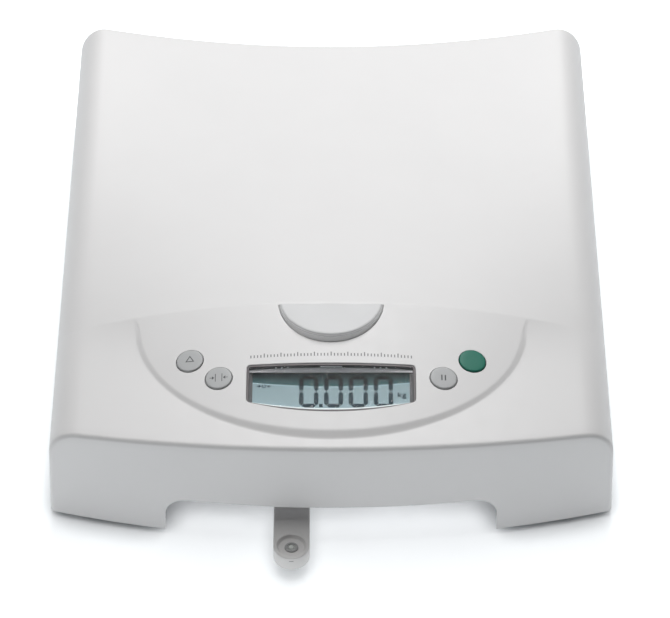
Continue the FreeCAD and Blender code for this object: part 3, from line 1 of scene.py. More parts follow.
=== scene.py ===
"""Looks of a flat digital baby weighing scale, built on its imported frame.

Every shape is worked in millimetres in the frame's own axes (+Z up, the front wall towards -Y) and
scaled to metres when it becomes an object.  "Back" is the distance behind the middle of the front
wall's lower edge.  The panel has a frame of its own: x across, y up its slope, w along its normal.
"""
import logging
import math
from abc import ABC, abstractmethod
from dataclasses import dataclass
from enum import Enum
from typing import Callable, Iterable, Optional, Sequence

import bmesh
import bpy
from mathutils import Matrix, Vector

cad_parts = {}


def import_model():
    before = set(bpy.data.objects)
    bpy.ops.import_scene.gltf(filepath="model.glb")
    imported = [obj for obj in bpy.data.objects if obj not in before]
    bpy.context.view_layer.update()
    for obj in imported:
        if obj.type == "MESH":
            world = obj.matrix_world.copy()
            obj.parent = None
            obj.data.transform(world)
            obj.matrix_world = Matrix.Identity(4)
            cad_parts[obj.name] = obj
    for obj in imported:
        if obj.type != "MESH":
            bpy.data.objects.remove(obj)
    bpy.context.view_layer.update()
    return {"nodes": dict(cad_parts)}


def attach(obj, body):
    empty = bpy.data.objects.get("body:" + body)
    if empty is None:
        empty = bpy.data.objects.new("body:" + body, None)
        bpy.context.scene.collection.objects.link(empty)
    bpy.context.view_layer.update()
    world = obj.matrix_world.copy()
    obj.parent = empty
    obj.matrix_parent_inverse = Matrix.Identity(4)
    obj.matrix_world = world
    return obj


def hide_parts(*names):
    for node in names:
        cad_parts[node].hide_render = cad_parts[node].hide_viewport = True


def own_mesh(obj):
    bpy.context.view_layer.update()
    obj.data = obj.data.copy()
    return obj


LOG = logging.getLogger("baby_scale")
MM = 0.001           # metres in a millimetre
FRONT_Y = -155.75    # the middle of the front wall's lower edge along Y
INK_T = 0.03         # thickness of printed ink
Colour = tuple[float, float, float]
Pair = tuple[float, float]
Point = tuple[float, float, float]
Socket = bpy.types.NodeSocket


# ================================================================ what the pieces ride on
class Body(Enum):
    """Moving bodies of the frame that new pieces ride on."""

    BASE = "scale_base"
    MEMORY = "memory_key_cap"
    RANGE = "range_key_cap"
    HOLD = "hold_key_cap"
    POWER = "power_key_cap"
    RELEASE = "release_slide"
    LEVEL = "level_swivel"


class Slot(Enum):
    """Material slots of the record."""

    COVER = "cover_grey"
    BEZEL = "bezel_taupe"
    LENS = "lens_clear"
    LCD = "lcd"
    KEY = "key_grey"
    POWER_KEY = "key_green"
    SILICONE = "silicone"
    SPRING = "spring_steel"
    ARM = "arm_grey"
    VIAL = "vial"


# ================================================================ shader graphs
class Graph:
    """Node graph of one material, with short ways to add and join nodes."""

    def __init__(self, name: str) -> None:
        """Starts an empty graph.

        Args:
            name: name of the material.
        """
        self.material = bpy.data.materials.new(name)
        self.material.use_nodes = True
        self.tree = self.material.node_tree
        self.tree.nodes.clear()

    def feed(self, target: Socket, value: object) -> None:
        """Sets an input, or joins it to another node.

        Args:
            target: the input.
            value: a value, or the other node's output socket.
        """
        if isinstance(value, Socket):
            self.tree.links.new(value, target)
        else:
            target.default_value = value

    def add(self, kind: str, **settings: object) -> bpy.types.Node:
        """Adds a node.

        Args:
            kind: node type without its ShaderNode prefix.
            settings: values or sockets for the inputs of that name, or else node properties.

        Returns:
            The new node.
        """
        node = self.tree.nodes.new("ShaderNode" + kind)
        for key, value in settings.items():
            label = key.replace("_", " ").title().replace("Ior", "IOR")
            if label in node.inputs:
                self.feed(node.inputs[label], value)
            else:
                setattr(node, key, value)
        return node

    def math(self, operation: str, *terms: object) -> Socket:
        """Adds a Math node.

        Args:
            operation: what it works out.
            terms: values or sockets, in the order of its inputs.

        Returns:
            The value socket.
        """
        node = self.add("Math", operation=operation)
        for target, term in zip(node.inputs, terms):
            self.feed(target, term)
        return node.outputs["Value"]

    def place(self, scale: Sequence[float] = (1.0, 1.0, 1.0)) -> Socket:
        """Object coordinates, stretched along each axis."""
        spot = self.add("TexCoord").outputs["Object"]
        return self.add("Mapping", vector=spot, scale=scale).outputs["Vector"]

    def noise(self, vector: Socket, scale: float, detail: float, rough: float) -> Socket:
        """Noise value between 0 and 1.

        Args:
            vector: coordinates.
            scale: features per metre.
            detail: octaves.
            rough: weight of the finer octaves.

        Returns:
            The value socket.
        """
        return self.add("TexNoise", vector=vector, scale=scale, detail=detail,
                        roughness=rough).outputs["Fac"]

    def ramp(self, value: Socket, stops: Sequence[tuple[float, Colour]]) -> Socket:
        """Colour ramp.

        Args:
            value: what is looked up.
            stops: positions and their colours.

        Returns:
            The colour socket.
        """
        node = self.add("ValToRGB", fac=value)
        points = node.color_ramp.elements
        while len(points) < len(stops):
            points.new(0.5)
        for point, (position, colour) in zip(points, stops):
            point.position = position
            point.color = (*colour, 1.0)
        return node.outputs["Color"]

    def tint(self, value: Socket, colour: Colour, low: float, high: float,
             places: Pair = (0.3, 0.7)) -> Socket:
        """A colour that gets lighter as a value rises.

        Args:
            value: the value.
            colour: the colour.
            low: share of the colour below the lower place.
            high: share of it above the upper place.
            places: the values that it changes between.

        Returns:
            The colour socket.
        """
        return self.ramp(value, [(places[0], tinted(colour, low)),
                                 (places[1], tinted(colour, high))])

    def span(self, value: Socket, low: float, high: float, source: Pair = (0.3, 0.7)) -> Socket:
        """Maps a value onto a range.

        Args:
            value: value to map.
            low: result at the lower end.
            high: result at the upper end.
            source: the value's own range.

        Returns:
            The mapped value socket.
        """
        return self.add("MapRange", value=value, from_min=source[0], from_max=source[1],
                        to_min=low, to_max=high).outputs["Result"]

    def bump(self, height: Socket, strength: float, depth: float) -> Socket:
        """Bump from a height.

        Args:
            height: height value.
            strength: share of the effect.
            depth: height of a full step in metres.

        Returns:
            The normal socket.
        """
        return self.add("Bump", height=height, strength=strength,
                        distance=depth).outputs["Normal"]

    def surface(self, **values: object) -> None:
        """Adds the Principled shader with these inputs, and the material's output."""
        shader = self.add("BsdfPrincipled", **values)
        self.add("OutputMaterial", surface=shader.outputs["BSDF"])


def tinted(colour: Colour, share: float) -> Colour:
    """A colour made lighter or darker by a share."""
    return tuple(min(1.0, c * share) for c in colour)


@dataclass(frozen=True)
class Finish(ABC):
    """Finish of a surface, with the name of its material."""

    name: str

    def build(self) -> bpy.types.Material:
        """Makes the material.

        Returns:
            The material.
        """
        graph = Graph(self.name)
        self.draw(graph)
        return graph.material

    @abstractmethod
    def draw(self, graph: Graph) -> None:
        """Adds the finish's nodes to an empty graph."""


@dataclass(frozen=True)
class Moulded(Finish):
    """Moulded plastic: faint mottling, a fine eroded grain and uneven gloss."""

    colour: Colour
    mottle: float = 0.012
    gloss: Pair = (0.42, 0.52)
    grain: float = 2200.0
    grain_depth: float = 0.00002
    specular: float = 0.45

    def draw(self, graph: Graph) -> None:
        """Adds the mottling, the worn gloss and the grain.

        Args:
            graph: empty graph of the material.
        """
        place = graph.place()
        patches = graph.noise(place, scale=26.0, detail=4.0, rough=0.55)
        wear = graph.noise(place, scale=140.0, detail=5.0, rough=0.6)
        grain = graph.noise(place, scale=self.grain, detail=2.0, rough=0.5)
        graph.surface(base_color=graph.tint(patches, self.colour, 1 - self.mottle,
                                            1 + self.mottle),
                      roughness=graph.span(wear, *self.gloss),
                      normal=graph.bump(grain, 0.35, self.grain_depth),
                      specular_ior_level=self.specular)


@dataclass(frozen=True)
class Metal(Finish):
    """Drawn, rolled or plated metal with lengthwise brushing."""

    colour: Colour
    gloss: Pair = (0.25, 0.42)
    brush: Sequence[float] = (12.0, 1.0, 1.0)
    scale: float = 320.0
    depth: float = 0.00002

    def draw(self, graph: Graph) -> None:
        """Adds the stains and the brushed lines.

        Args:
            graph: empty graph of the material.
        """
        lines = graph.noise(graph.place(self.brush), scale=self.scale, detail=4.0, rough=0.6)
        stains = graph.noise(graph.place(), scale=60.0, detail=3.0, rough=0.5)
        graph.surface(base_color=graph.tint(stains, self.colour, 0.9, 1.06),
                      roughness=graph.span(lines, *self.gloss),
                      normal=graph.bump(lines, 0.3, self.depth), metallic=1.0)


@dataclass(frozen=True)
class Elastic(Finish):
    """Rubber or silicone: matt, dusty in patches, with a soft sheen."""

    colour: Colour
    gloss: Pair = (0.6, 0.8)
    soften: float = 0.0

    def draw(self, graph: Graph) -> None:
        """Adds the dust, the sheen and the fine grain.

        Args:
            graph: empty graph of the material.
        """
        place = graph.place()
        dust = graph.noise(place, scale=90.0, detail=5.0, rough=0.65)
        grain = graph.noise(place, scale=1500.0, detail=3.0, rough=0.5)
        graph.surface(base_color=graph.tint(dust, self.colour, 0.92, 1.22, (0.35, 0.75)),
                      roughness=graph.span(dust, *self.gloss),
                      normal=graph.bump(grain, 0.4, 0.00004), specular_ior_level=0.35,
                      subsurface_weight=self.soften, subsurface_scale=0.002, sheen_weight=0.15)


@dataclass(frozen=True)
class Clear(Finish):
    """Clear plastic or liquid, thin enough to let light straight through."""

    colour: Colour
    cover: float = 0.12
    gloss: Pair = (0.03, 0.07)
    ior: float = 1.49

    def draw(self, graph: Graph) -> None:
        """Adds the faint smears and the glossy coat.

        Args:
            graph: empty graph of the material.
        """
        smears = graph.noise(graph.place(), scale=45.0, detail=4.0, rough=0.6)
        graph.surface(base_color=graph.tint(smears, self.colour, 0.96, 1.0),
                      roughness=graph.span(smears, *self.gloss), alpha=self.cover, ior=self.ior,
                      coat_weight=0.6, coat_roughness=0.03)


@dataclass(frozen=True)
class DisplayFilm(Finish):
    """Reflective film behind a liquid-crystal glass, in bands up the panel's slope that paint light
    and shade on it: the painted shadow of the bezel's rear wall and a painted highlight line under
    it.

    Attributes:
        tilt: slope of the panel as an angle.
        origin: origin of the panel's frame in millimetres.
        bands: distance up the slope in millimetres, and the colour there; these colours paint light
            and shade.
        reach: the bands are looked up from this far below the origin to this far above it.
        bow: how much lower the painted shadow line runs in the middle than at the window's ends.
        half: half the window's width.
    """

    tilt: float
    origin: Sequence[float]
    bands: Sequence[tuple[float, Colour]]
    reach: float = 20.0
    bow: float = 2.4
    half: float = 40.0

    def draw(self, graph: Graph) -> None:
        """Adds the bowed bands of painted light and shade, a faint cloudiness and a fine speckle.

        Args:
            graph: empty graph of the material.
        """
        spot = graph.add("TexCoord").outputs["Object"]
        slope = graph.add("Mapping", vector_type="TEXTURE", vector=spot,
                          location=[v * MM for v in self.origin],
                          rotation=(self.tilt, 0.0, 0.0)).outputs["Vector"]
        along = graph.add("SeparateXYZ", vector=slope).outputs
        bowed = graph.math("MULTIPLY_ADD", graph.math("MULTIPLY", along["X"], along["X"]),
                           -self.bow / (self.half ** 2 * MM), along["Y"])
        up = graph.span(bowed, 0.0, 1.0,
                        (-(self.reach + self.bow) * MM, (self.reach - self.bow) * MM))
        body = graph.ramp(up, [(0.5 + y / (2 * self.reach), colour) for y, colour in self.bands])
        film = graph.noise(slope, scale=70.0, detail=4.0, rough=0.6)
        speck = graph.noise(slope, scale=3800.0, detail=2.0, rough=0.5)
        cloud = graph.tint(film, (1.0, 1.0, 1.0), 0.93, 1.0)
        clouded = graph.add("MixRGB", blend_type="MULTIPLY", fac=1.0, color1=body, color2=cloud)
        graph.surface(base_color=clouded.outputs["Color"], roughness=graph.span(speck, 0.5, 0.6),
                      normal=graph.bump(speck, 0.15, 0.00001), specular_ior_level=0.08)


@dataclass(frozen=True)
class Ink(Finish):
    """Screen-printed ink: almost even, with a slightly broken edge and a dull gloss."""

    colour: Colour
    gloss: Pair = (0.45, 0.6)
    specular: float = 0.3

    def draw(self, graph: Graph) -> None:
        """Adds the thin places of the coat.

        Args:
            graph: empty graph of the material.
        """
        coat = graph.noise(graph.place(), scale=900.0, detail=3.0, rough=0.6)
        graph.surface(base_color=graph.tint(coat, self.colour, 0.92, 1.1),
                      roughness=graph.span(coat, *self.gloss), specular_ior_level=self.specular)


@dataclass(frozen=True)
class PrintedBoard(Finish):
    """Glass-fibre board: solder mask over a faint grid of copper tracks."""

    mask: Colour
    track: Colour
    pitch: float = 420.0

    def draw(self, graph: Graph) -> None:
        """Adds the tracks and the weave under the mask.

        Args:
            graph: empty graph of the material.
        """
        place = graph.place()
        tracks = graph.add("TexBrick", offset=0.5, vector=place, scale=self.pitch,
                           mortar_size=0.04, color1=(*self.mask, 1.0),
                           color2=(*tinted(self.mask, 1.25), 1.0),
                           mortar=(*self.track, 1.0)).outputs
        weave = graph.noise(place, scale=1400.0, detail=2.0, rough=0.5)
        graph.surface(base_color=tracks["Color"], roughness=graph.span(weave, 0.35, 0.5),
                      normal=graph.bump(tracks["Fac"], 0.3, 0.00004), coat_weight=0.4,
                      coat_roughness=0.15)


class Paint:
    """Every finish of the scale, each built once when it is first asked for."""

    COVER = Moulded("cover_plastic", (0.78, 0.775, 0.775), mottle=0.008)
    BUTTON = Moulded("release_plastic", (0.70, 0.705, 0.71), mottle=0.008, gloss=(0.42, 0.52),
                     specular=0.3)
    BASE = Moulded("base_plastic", (0.42, 0.42, 0.43), gloss=(0.5, 0.62), grain=1500.0,
                   grain_depth=0.00004)
    BEZEL = Moulded("bezel_plastic", (0.135, 0.122, 0.127), gloss=(0.4, 0.5))
    # Painted light: a lighter copy of the bezel's colour for its sloping inside ends.
    CHEEK_PAINTED_LIGHT = Moulded("bezel_cheek_painted_light", (0.22, 0.205, 0.21), gloss=(0.4, 0.5))
    # Painted light: a far lighter copy of the bezel's colour for the bezel's rear ledge, clip and
    # pins, which stand in its shade.
    BAR_PAINTED_LIGHT = Moulded("bezel_bar_painted_light", (0.87, 0.86, 0.89), gloss=(0.35, 0.45))
    HOLDER = Moulded("holder_plastic", (0.05, 0.05, 0.052), gloss=(0.4, 0.55))
    # Painted light: a lighter copy of the button's colour for its upright sides, which face away
    # from the lamps.
    BUTTON_SIDE_PAINTED_LIGHT = Moulded("release_side_painted_light", (0.94, 0.94, 0.94), mottle=0.008, specular=0.4)
    KEY = Moulded("key_plastic", (0.50, 0.51, 0.515), gloss=(0.4, 0.5), specular=0.3)
    POWER_KEY = Moulded("power_key_plastic", (0.02, 0.185, 0.13), mottle=0.03,
                        gloss=(0.4, 0.5), specular=0.3)
    ARM = Moulded("arm_plastic", (0.76, 0.75, 0.74), gloss=(0.4, 0.5))
    VIAL_RIM = Moulded("vial_rim_plastic", (0.42, 0.42, 0.425), gloss=(0.25, 0.35))
    FOOT = Moulded("foot_plastic", (0.05, 0.05, 0.055), gloss=(0.45, 0.6), grain_depth=0.00005)
    JACKET = Moulded("cell_jacket", (0.03, 0.12, 0.3), mottle=0.08, gloss=(0.2, 0.3))
    STEEL = Metal("plate_steel", (0.55, 0.56, 0.57), brush=(1.0, 10.0, 1.0))
    SCREW = Metal("screw_steel", (0.5, 0.5, 0.49), brush=(1.0, 1.0, 8.0), scale=700.0)
    SPRING = Metal("spring_steel", (0.6, 0.6, 0.62), gloss=(0.2, 0.32))
    CELL = Metal("cell_aluminium", (0.8, 0.8, 0.81), brush=(14.0, 1.0, 1.0))
    CONTACT = Metal("contact_nickel", (0.68, 0.66, 0.6), gloss=(0.15, 0.28))
    RUBBER = Elastic("foot_rubber", (0.03, 0.03, 0.032))
    SILICONE = Elastic("dome_silicone", (0.55, 0.56, 0.55), gloss=(0.45, 0.6), soften=0.25)
    LEAD = Elastic("lead_jacket", (0.28, 0.03, 0.03), gloss=(0.35, 0.5))
    RIBBON = Elastic("ribbon_jacket", (0.55, 0.55, 0.52), gloss=(0.35, 0.5))
    LENS = Clear("lens_plastic", (0.8, 0.9, 0.9), cover=0.02)
    # Painted highlight: a pale strip along the pane's bowed edge.
    LENS_EDGE_HIGHLIGHT = Moulded("lens_edge_painted_highlight", (0.80, 0.90, 0.91), gloss=(0.15, 0.25),
                        grain_depth=0.00001)
    VIAL = Clear("vial_glass", (0.9, 0.93, 0.9), cover=0.2)
    LIQUID = Clear("vial_liquid", (0.78, 0.81, 0.78), cover=0.6, ior=1.36)
    BUBBLE = Clear("vial_bubble", (0.95, 0.98, 0.95), cover=0.8, ior=1.0)
    MARK = Ink("key_mark_ink", (0.1, 0.105, 0.11))
    LINE = Ink("panel_line_ink", (0.2, 0.2, 0.21))
    BOARD = PrintedBoard("board_mask", (0.01, 0.11, 0.045), (0.05, 0.3, 0.12))

    _made: dict[str, bpy.types.Material] = {}

    @classmethod
    def of(cls, finish: Finish) -> bpy.types.Material:
        """The material of a finish.

        Args:
            finish: one of this class's finishes, or a DisplayFilm.

        Returns:
            The material, built at the first call.
        """
        if finish.name not in cls._made:
            cls._made[finish.name] = finish.build()
        return cls._made[finish.name]


# ================================================================ shapes in millimetres
def rectangle(x0: float, y0: float, x1: float, y1: float) -> list[Pair]:
    """Corners of an upright rectangle."""
    return [(x0, y0), (x1, y0), (x1, y1), (x0, y1)]


def round_over(side: float, top: float, edge: float, step: float, count: int) -> list[Pair]:
    """Points of a lathe profile that round a flat top over into a side.

    Args:
        side: radius of the side.
        top: height of the top.
        edge: radius of the rounding.
        step: degrees from point to point.
        count: how many points there are.

    Returns:
        Radius and height of each point, from the top outwards.
    """
    angles = [math.radians(step * k) for k in range(count)]
    return [(side - edge + edge * math.sin(a), top - edge + edge * math.cos(a)) for a in angles]


class Shape:
    """A mesh in the making, in millimetres."""

    def __init__(self) -> None:
        """Starts an empty shape."""
        self.bm = bmesh.new()

    @property
    def everything(self) -> list[object]:
        """All its corners, edges and faces."""
        return [*self.bm.verts, *self.bm.edges, *self.bm.faces]

    @classmethod
    def lathe(cls, profile: Sequence[Pair], steps: int = 64) -> "Shape":
        """Turns a profile about the Z axis.

        Args:
            profile: radius and height of each point, from one end to the other.
            steps: faces round the axis.

        Returns:
            The turned shape.
        """
        shape = cls()
        verts = [shape.bm.verts.new((r, 0.0, z)) for r, z in profile]
        edges = [shape.bm.edges.new(pair) for pair in zip(verts, verts[1:])]
        bmesh.ops.spin(shape.bm, geom=[*verts, *edges], cent=(0, 0, 0), axis=(0, 0, 1),
                       dvec=(0, 0, 0), angle=math.tau, steps=steps, use_merge=True,
                       use_duplicate=False)
        return shape.tidy()

    @classmethod
    def coil(cls, radius: float, wire: float, low: float, high: float, turns: int) -> "Shape":
        """Helical spring about the Z axis.

        Args:
            radius: from the axis to the middle of the wire.
            wire: radius of the wire.
            low: height of its foot.
            high: height of its top.
            turns: whole turns.

        Returns:
            The spring, closed at both ends.
        """
        shape, steps = cls(), 24 * turns
        made = bmesh.ops.create_circle(shape.bm, segments=10, radius=wire)
        bmesh.ops.rotate(shape.bm, cent=(0, 0, 0), verts=made["verts"],
                         matrix=Matrix.Rotation(math.radians(90), 3, "X"))
        shape.shift(radius, 0.0, low + wire)
        rise = (high - low - 2 * wire) / steps
        bmesh.ops.spin(shape.bm, geom=[*shape.bm.verts, *shape.bm.edges], cent=(0, 0, 0),
                       axis=(0, 0, 1), dvec=(0, 0, rise), angle=math.tau * turns,
                       steps=steps, use_merge=False, use_duplicate=False)
        ends = [e for e in shape.bm.edges if e.is_boundary]
        bmesh.ops.holes_fill(shape.bm, edges=ends, sides=0)
        return shape.tidy()

    @classmethod
    def block(cls, low: Sequence[float], high: Sequence[float], edge: float = 0.0) -> "Shape":
        """Upright block.

        Args:
            low: lowest corner.
            high: highest corner.
            edge: radius of its edges.

        Returns:
            The block.
        """
        shape = cls()
        middle = [(a + b) / 2 for a, b in zip(low, high)]
        size = [b - a for a, b in zip(low, high)]
        bmesh.ops.create_cube(shape.bm, size=1.0)
        bmesh.ops.scale(shape.bm, vec=size, verts=shape.bm.verts)
        bmesh.ops.translate(shape.bm, vec=middle, verts=shape.bm.verts)
        return shape.soften(edge, 2) if edge else shape

    @classmethod
    def prism(cls, corners: Sequence[Sequence[float]], along: Sequence[float]) -> "Shape":
        """Solid with straight sides.

        Args:
            corners: corners of its first end, in order.
            along: way from the first end to the other.

        Returns:
            The solid.
        """
        shape = cls()
        face = shape.bm.faces.new([shape.bm.verts.new(c) for c in corners])
        return shape.draw_out([face], along).tidy()

    @classmethod
    def plates(cls, outlines: Iterable[Sequence[Pair]], thick: float) -> "Shape":
        """Flat plates that lie on height 0.

        Args:
            outlines: corners of each plate seen from above, in order.
            thick: their thickness.

        Returns:
            The plates as one shape.
        """
        return cls().add(*(cls.prism([(x, y, 0.0) for x, y in outline], (0, 0, thick))
                           for outline in outlines))

    @classmethod
    def grid(cls, columns: int, rows: int,
             place: Callable[[int, int], Sequence[float]]) -> "Shape":
        """Sheet of quads with its corners placed by a rule.

        Args:
            columns: quads along the first direction.
            rows: quads along the second.
            place: gives the point for a column and a row.

        Returns:
            The sheet.
        """
        shape = cls()
        made = bmesh.ops.create_grid(shape.bm, x_segments=columns, y_segments=rows, size=0.5)
        for vert in made["verts"]:
            i, j = round((vert.co.x + 0.5) * columns), round((vert.co.y + 0.5) * rows)
            vert.co = Vector(place(i, j))
        return shape

    def add(self, *others: "Shape") -> "Shape":
        """Takes in other shapes.

        Args:
            others: shapes to copy in; they are freed.

        Returns:
            This shape.
        """
        for other in others:
            held = bpy.data.meshes.new("held")
            other.bm.to_mesh(held)
            other.bm.free()
            self.bm.from_mesh(held)
            bpy.data.meshes.remove(held)
        return self

    def bend(self, rule: Callable[[Vector], Sequence[float]]) -> "Shape":
        """Moves every corner by a rule.

        Args:
            rule: gives the new place for an old one.

        Returns:
            This shape.
        """
        for vert in self.bm.verts:
            vert.co = Vector(rule(vert.co.copy()))
        return self

    def shift(self, x: float = 0.0, y: float = 0.0, z: float = 0.0) -> "Shape":
        """Moves the shape along the axes."""
        bmesh.ops.translate(self.bm, vec=(x, y, z), verts=self.bm.verts)
        return self

    def turn(self, degrees: float, axis: str = "Z") -> "Shape":
        """Turns the shape about an axis through the origin.

        Args:
            degrees: how far it turns.
            axis: letter of the axis.

        Returns:
            This shape.
        """
        bmesh.ops.rotate(self.bm, cent=(0, 0, 0), verts=self.bm.verts,
                         matrix=Matrix.Rotation(math.radians(degrees), 3, axis))
        return self

    def draw_out(self, faces: Iterable[bmesh.types.BMFace], along: Sequence[float]) -> "Shape":
        """Extrudes faces.

        Args:
            faces: faces to draw out; they stay as the near end.
            along: way to the far end.

        Returns:
            This shape.
        """
        made = bmesh.ops.extrude_face_region(self.bm, geom=list(faces), use_keep_orig=True)
        moved = [g for g in made["geom"] if isinstance(g, bmesh.types.BMVert)]
        bmesh.ops.translate(self.bm, vec=along, verts=moved)
        return self

    def soften(self, radius: float, segments: int,
               keep: Optional[Callable[[bmesh.types.BMEdge], bool]] = None) -> "Shape":
        """Rounds edges.

        Args:
            radius: offset of the rounding.
            segments: faces across it.
            keep: which edges; all of them if it isn't given.

        Returns:
            This shape.
        """
        edges = [e for e in self.bm.edges if keep is None or keep(e)]
        bmesh.ops.bevel(self.bm, geom=edges, offset=radius, offset_type="OFFSET",
                        segments=segments, profile=0.5, affect="EDGES", material=-1,
                        clamp_overlap=True)
        return self

    def slice(self, point: Sequence[float], normal: Sequence[float]) -> "Shape":
        """Cuts away what lies beyond a plane and closes the cut.

        Args:
            point: a point of the plane.
            normal: direction of the part that goes.

        Returns:
            This shape.
        """
        made = bmesh.ops.bisect_plane(self.bm, geom=self.everything, plane_co=point,
                                      plane_no=normal, clear_outer=True)
        rim = [g for g in made["geom_cut"] if isinstance(g, bmesh.types.BMEdge)]
        bmesh.ops.holes_fill(self.bm, edges=rim, sides=0)
        return self.tidy()

    def tidy(self) -> "Shape":
        """Merges doubled corners and turns every face outwards.

        Returns:
            This shape.
        """
        bmesh.ops.remove_doubles(self.bm, verts=self.bm.verts, dist=1e-4)
        bmesh.ops.recalc_face_normals(self.bm, faces=self.bm.faces)
        return self

    def to_object(self, name: str) -> bpy.types.Object:
        """Makes a plain object, in metres, at the origin.

        Args:
            name: its name.

        Returns:
            The object, linked to the scene.
        """
        bmesh.ops.scale(self.bm, vec=(MM, MM, MM), verts=self.bm.verts)
        mesh = bpy.data.meshes.new(name)
        self.bm.to_mesh(mesh)
        self.bm.free()
        made = bpy.data.objects.new(name, mesh)
        bpy.context.scene.collection.objects.link(made)
        return made


def smooth(piece: bpy.types.Object, degrees: float) -> None:
    """Shades a piece smoothly between its sharp edges."""
    piece.data.polygons.foreach_set("use_smooth", [True] * len(piece.data.polygons))
    piece.data.set_sharp_from_angle(angle=math.radians(degrees))


def settle(shape: Shape, name: str, finish: Finish, body: Body,
           replaces: Sequence[str] = (), angle: float = 28.0) -> bpy.types.Object:
    """Turns a shape into a finished piece of the scale.

    Args:
        shape: the shape in millimetres.
        name: the piece's name.
        finish: its finish.
        body: the body it rides on.
        replaces: frame nodes it stands for.
        angle: edges sharper than this stay crisp.

    Returns:
        The finished object.
    """
    return adopt(shape.to_object(name), finish, body, replaces, angle)


def adopt(piece: bpy.types.Object, finish: Finish, body: Body,
          replaces: Sequence[str] = (), angle: float = 28.0) -> bpy.types.Object:
    """Gives a finish and a body to an object that is already in place.

    Args:
        piece: the object.
        finish: its finish.
        body: the body it rides on.
        replaces: frame nodes it stands for.
        angle: edges sharper than this stay crisp.

    Returns:
        The same object.
    """
    smooth(piece, angle)
    piece.data.materials.clear()
    piece.data.materials.append(Paint.of(finish))
    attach(piece, body.value)
    if replaces:
        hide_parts(*replaces)
    LOG.info("%s: %d faces on %s", piece.name, len(piece.data.polygons), body.value)
    return piece


def carve(target: bpy.types.Object, cutters: Sequence[bpy.types.Object]) -> bpy.types.Object:
    """Cuts closed shapes out of a closed object.

    Args:
        target: what is cut.
        cutters: what cuts; they are removed afterwards.

    Returns:
        The cut object.
    """
    for cutter in cutters:
        before = len(target.data.vertices)
        for solver in ("MANIFOLD", "EXACT"):
            step = target.modifiers.new("cut", "BOOLEAN")
            step.operation, step.solver, step.object = "DIFFERENCE", solver, cutter
            bpy.context.view_layer.update()
            seen = target.evaluated_get(bpy.context.evaluated_depsgraph_get())
            cut = bpy.data.meshes.new_from_object(seen)
            target.modifiers.remove(step)
            if len(cut.vertices) not in (0, before):
                break
            LOG.warning("%s: cutter %s left no mark with %s", target.name, cutter.name, solver)
        old, target.data = target.data, cut
        cut.name = target.name
        bpy.data.meshes.remove(old)
        bpy.data.meshes.remove(cutter.data)
    return target


# ================================================================ the housing's form
SOFTENING = ((-2, 1), (-1, 4), (0, 6), (1, 4), (2, 1))    # steps aside, and their shares


class Zone(Enum):
    """Stretches of the housing's cross-section."""

    WALL = 1
    SHOULDER = 2
    TOP = 3


@dataclass(frozen=True)
class Column:
    """One line of the housing's sheet, running from front to rear.

    Attributes:
        side: -1 on the left, 1 on the right.
        zone: stretch of the cross-section.
        place: share of the stretch, or the distance from the centre plane on the top.
    """

    side: int
    zone: Zone
    place: float


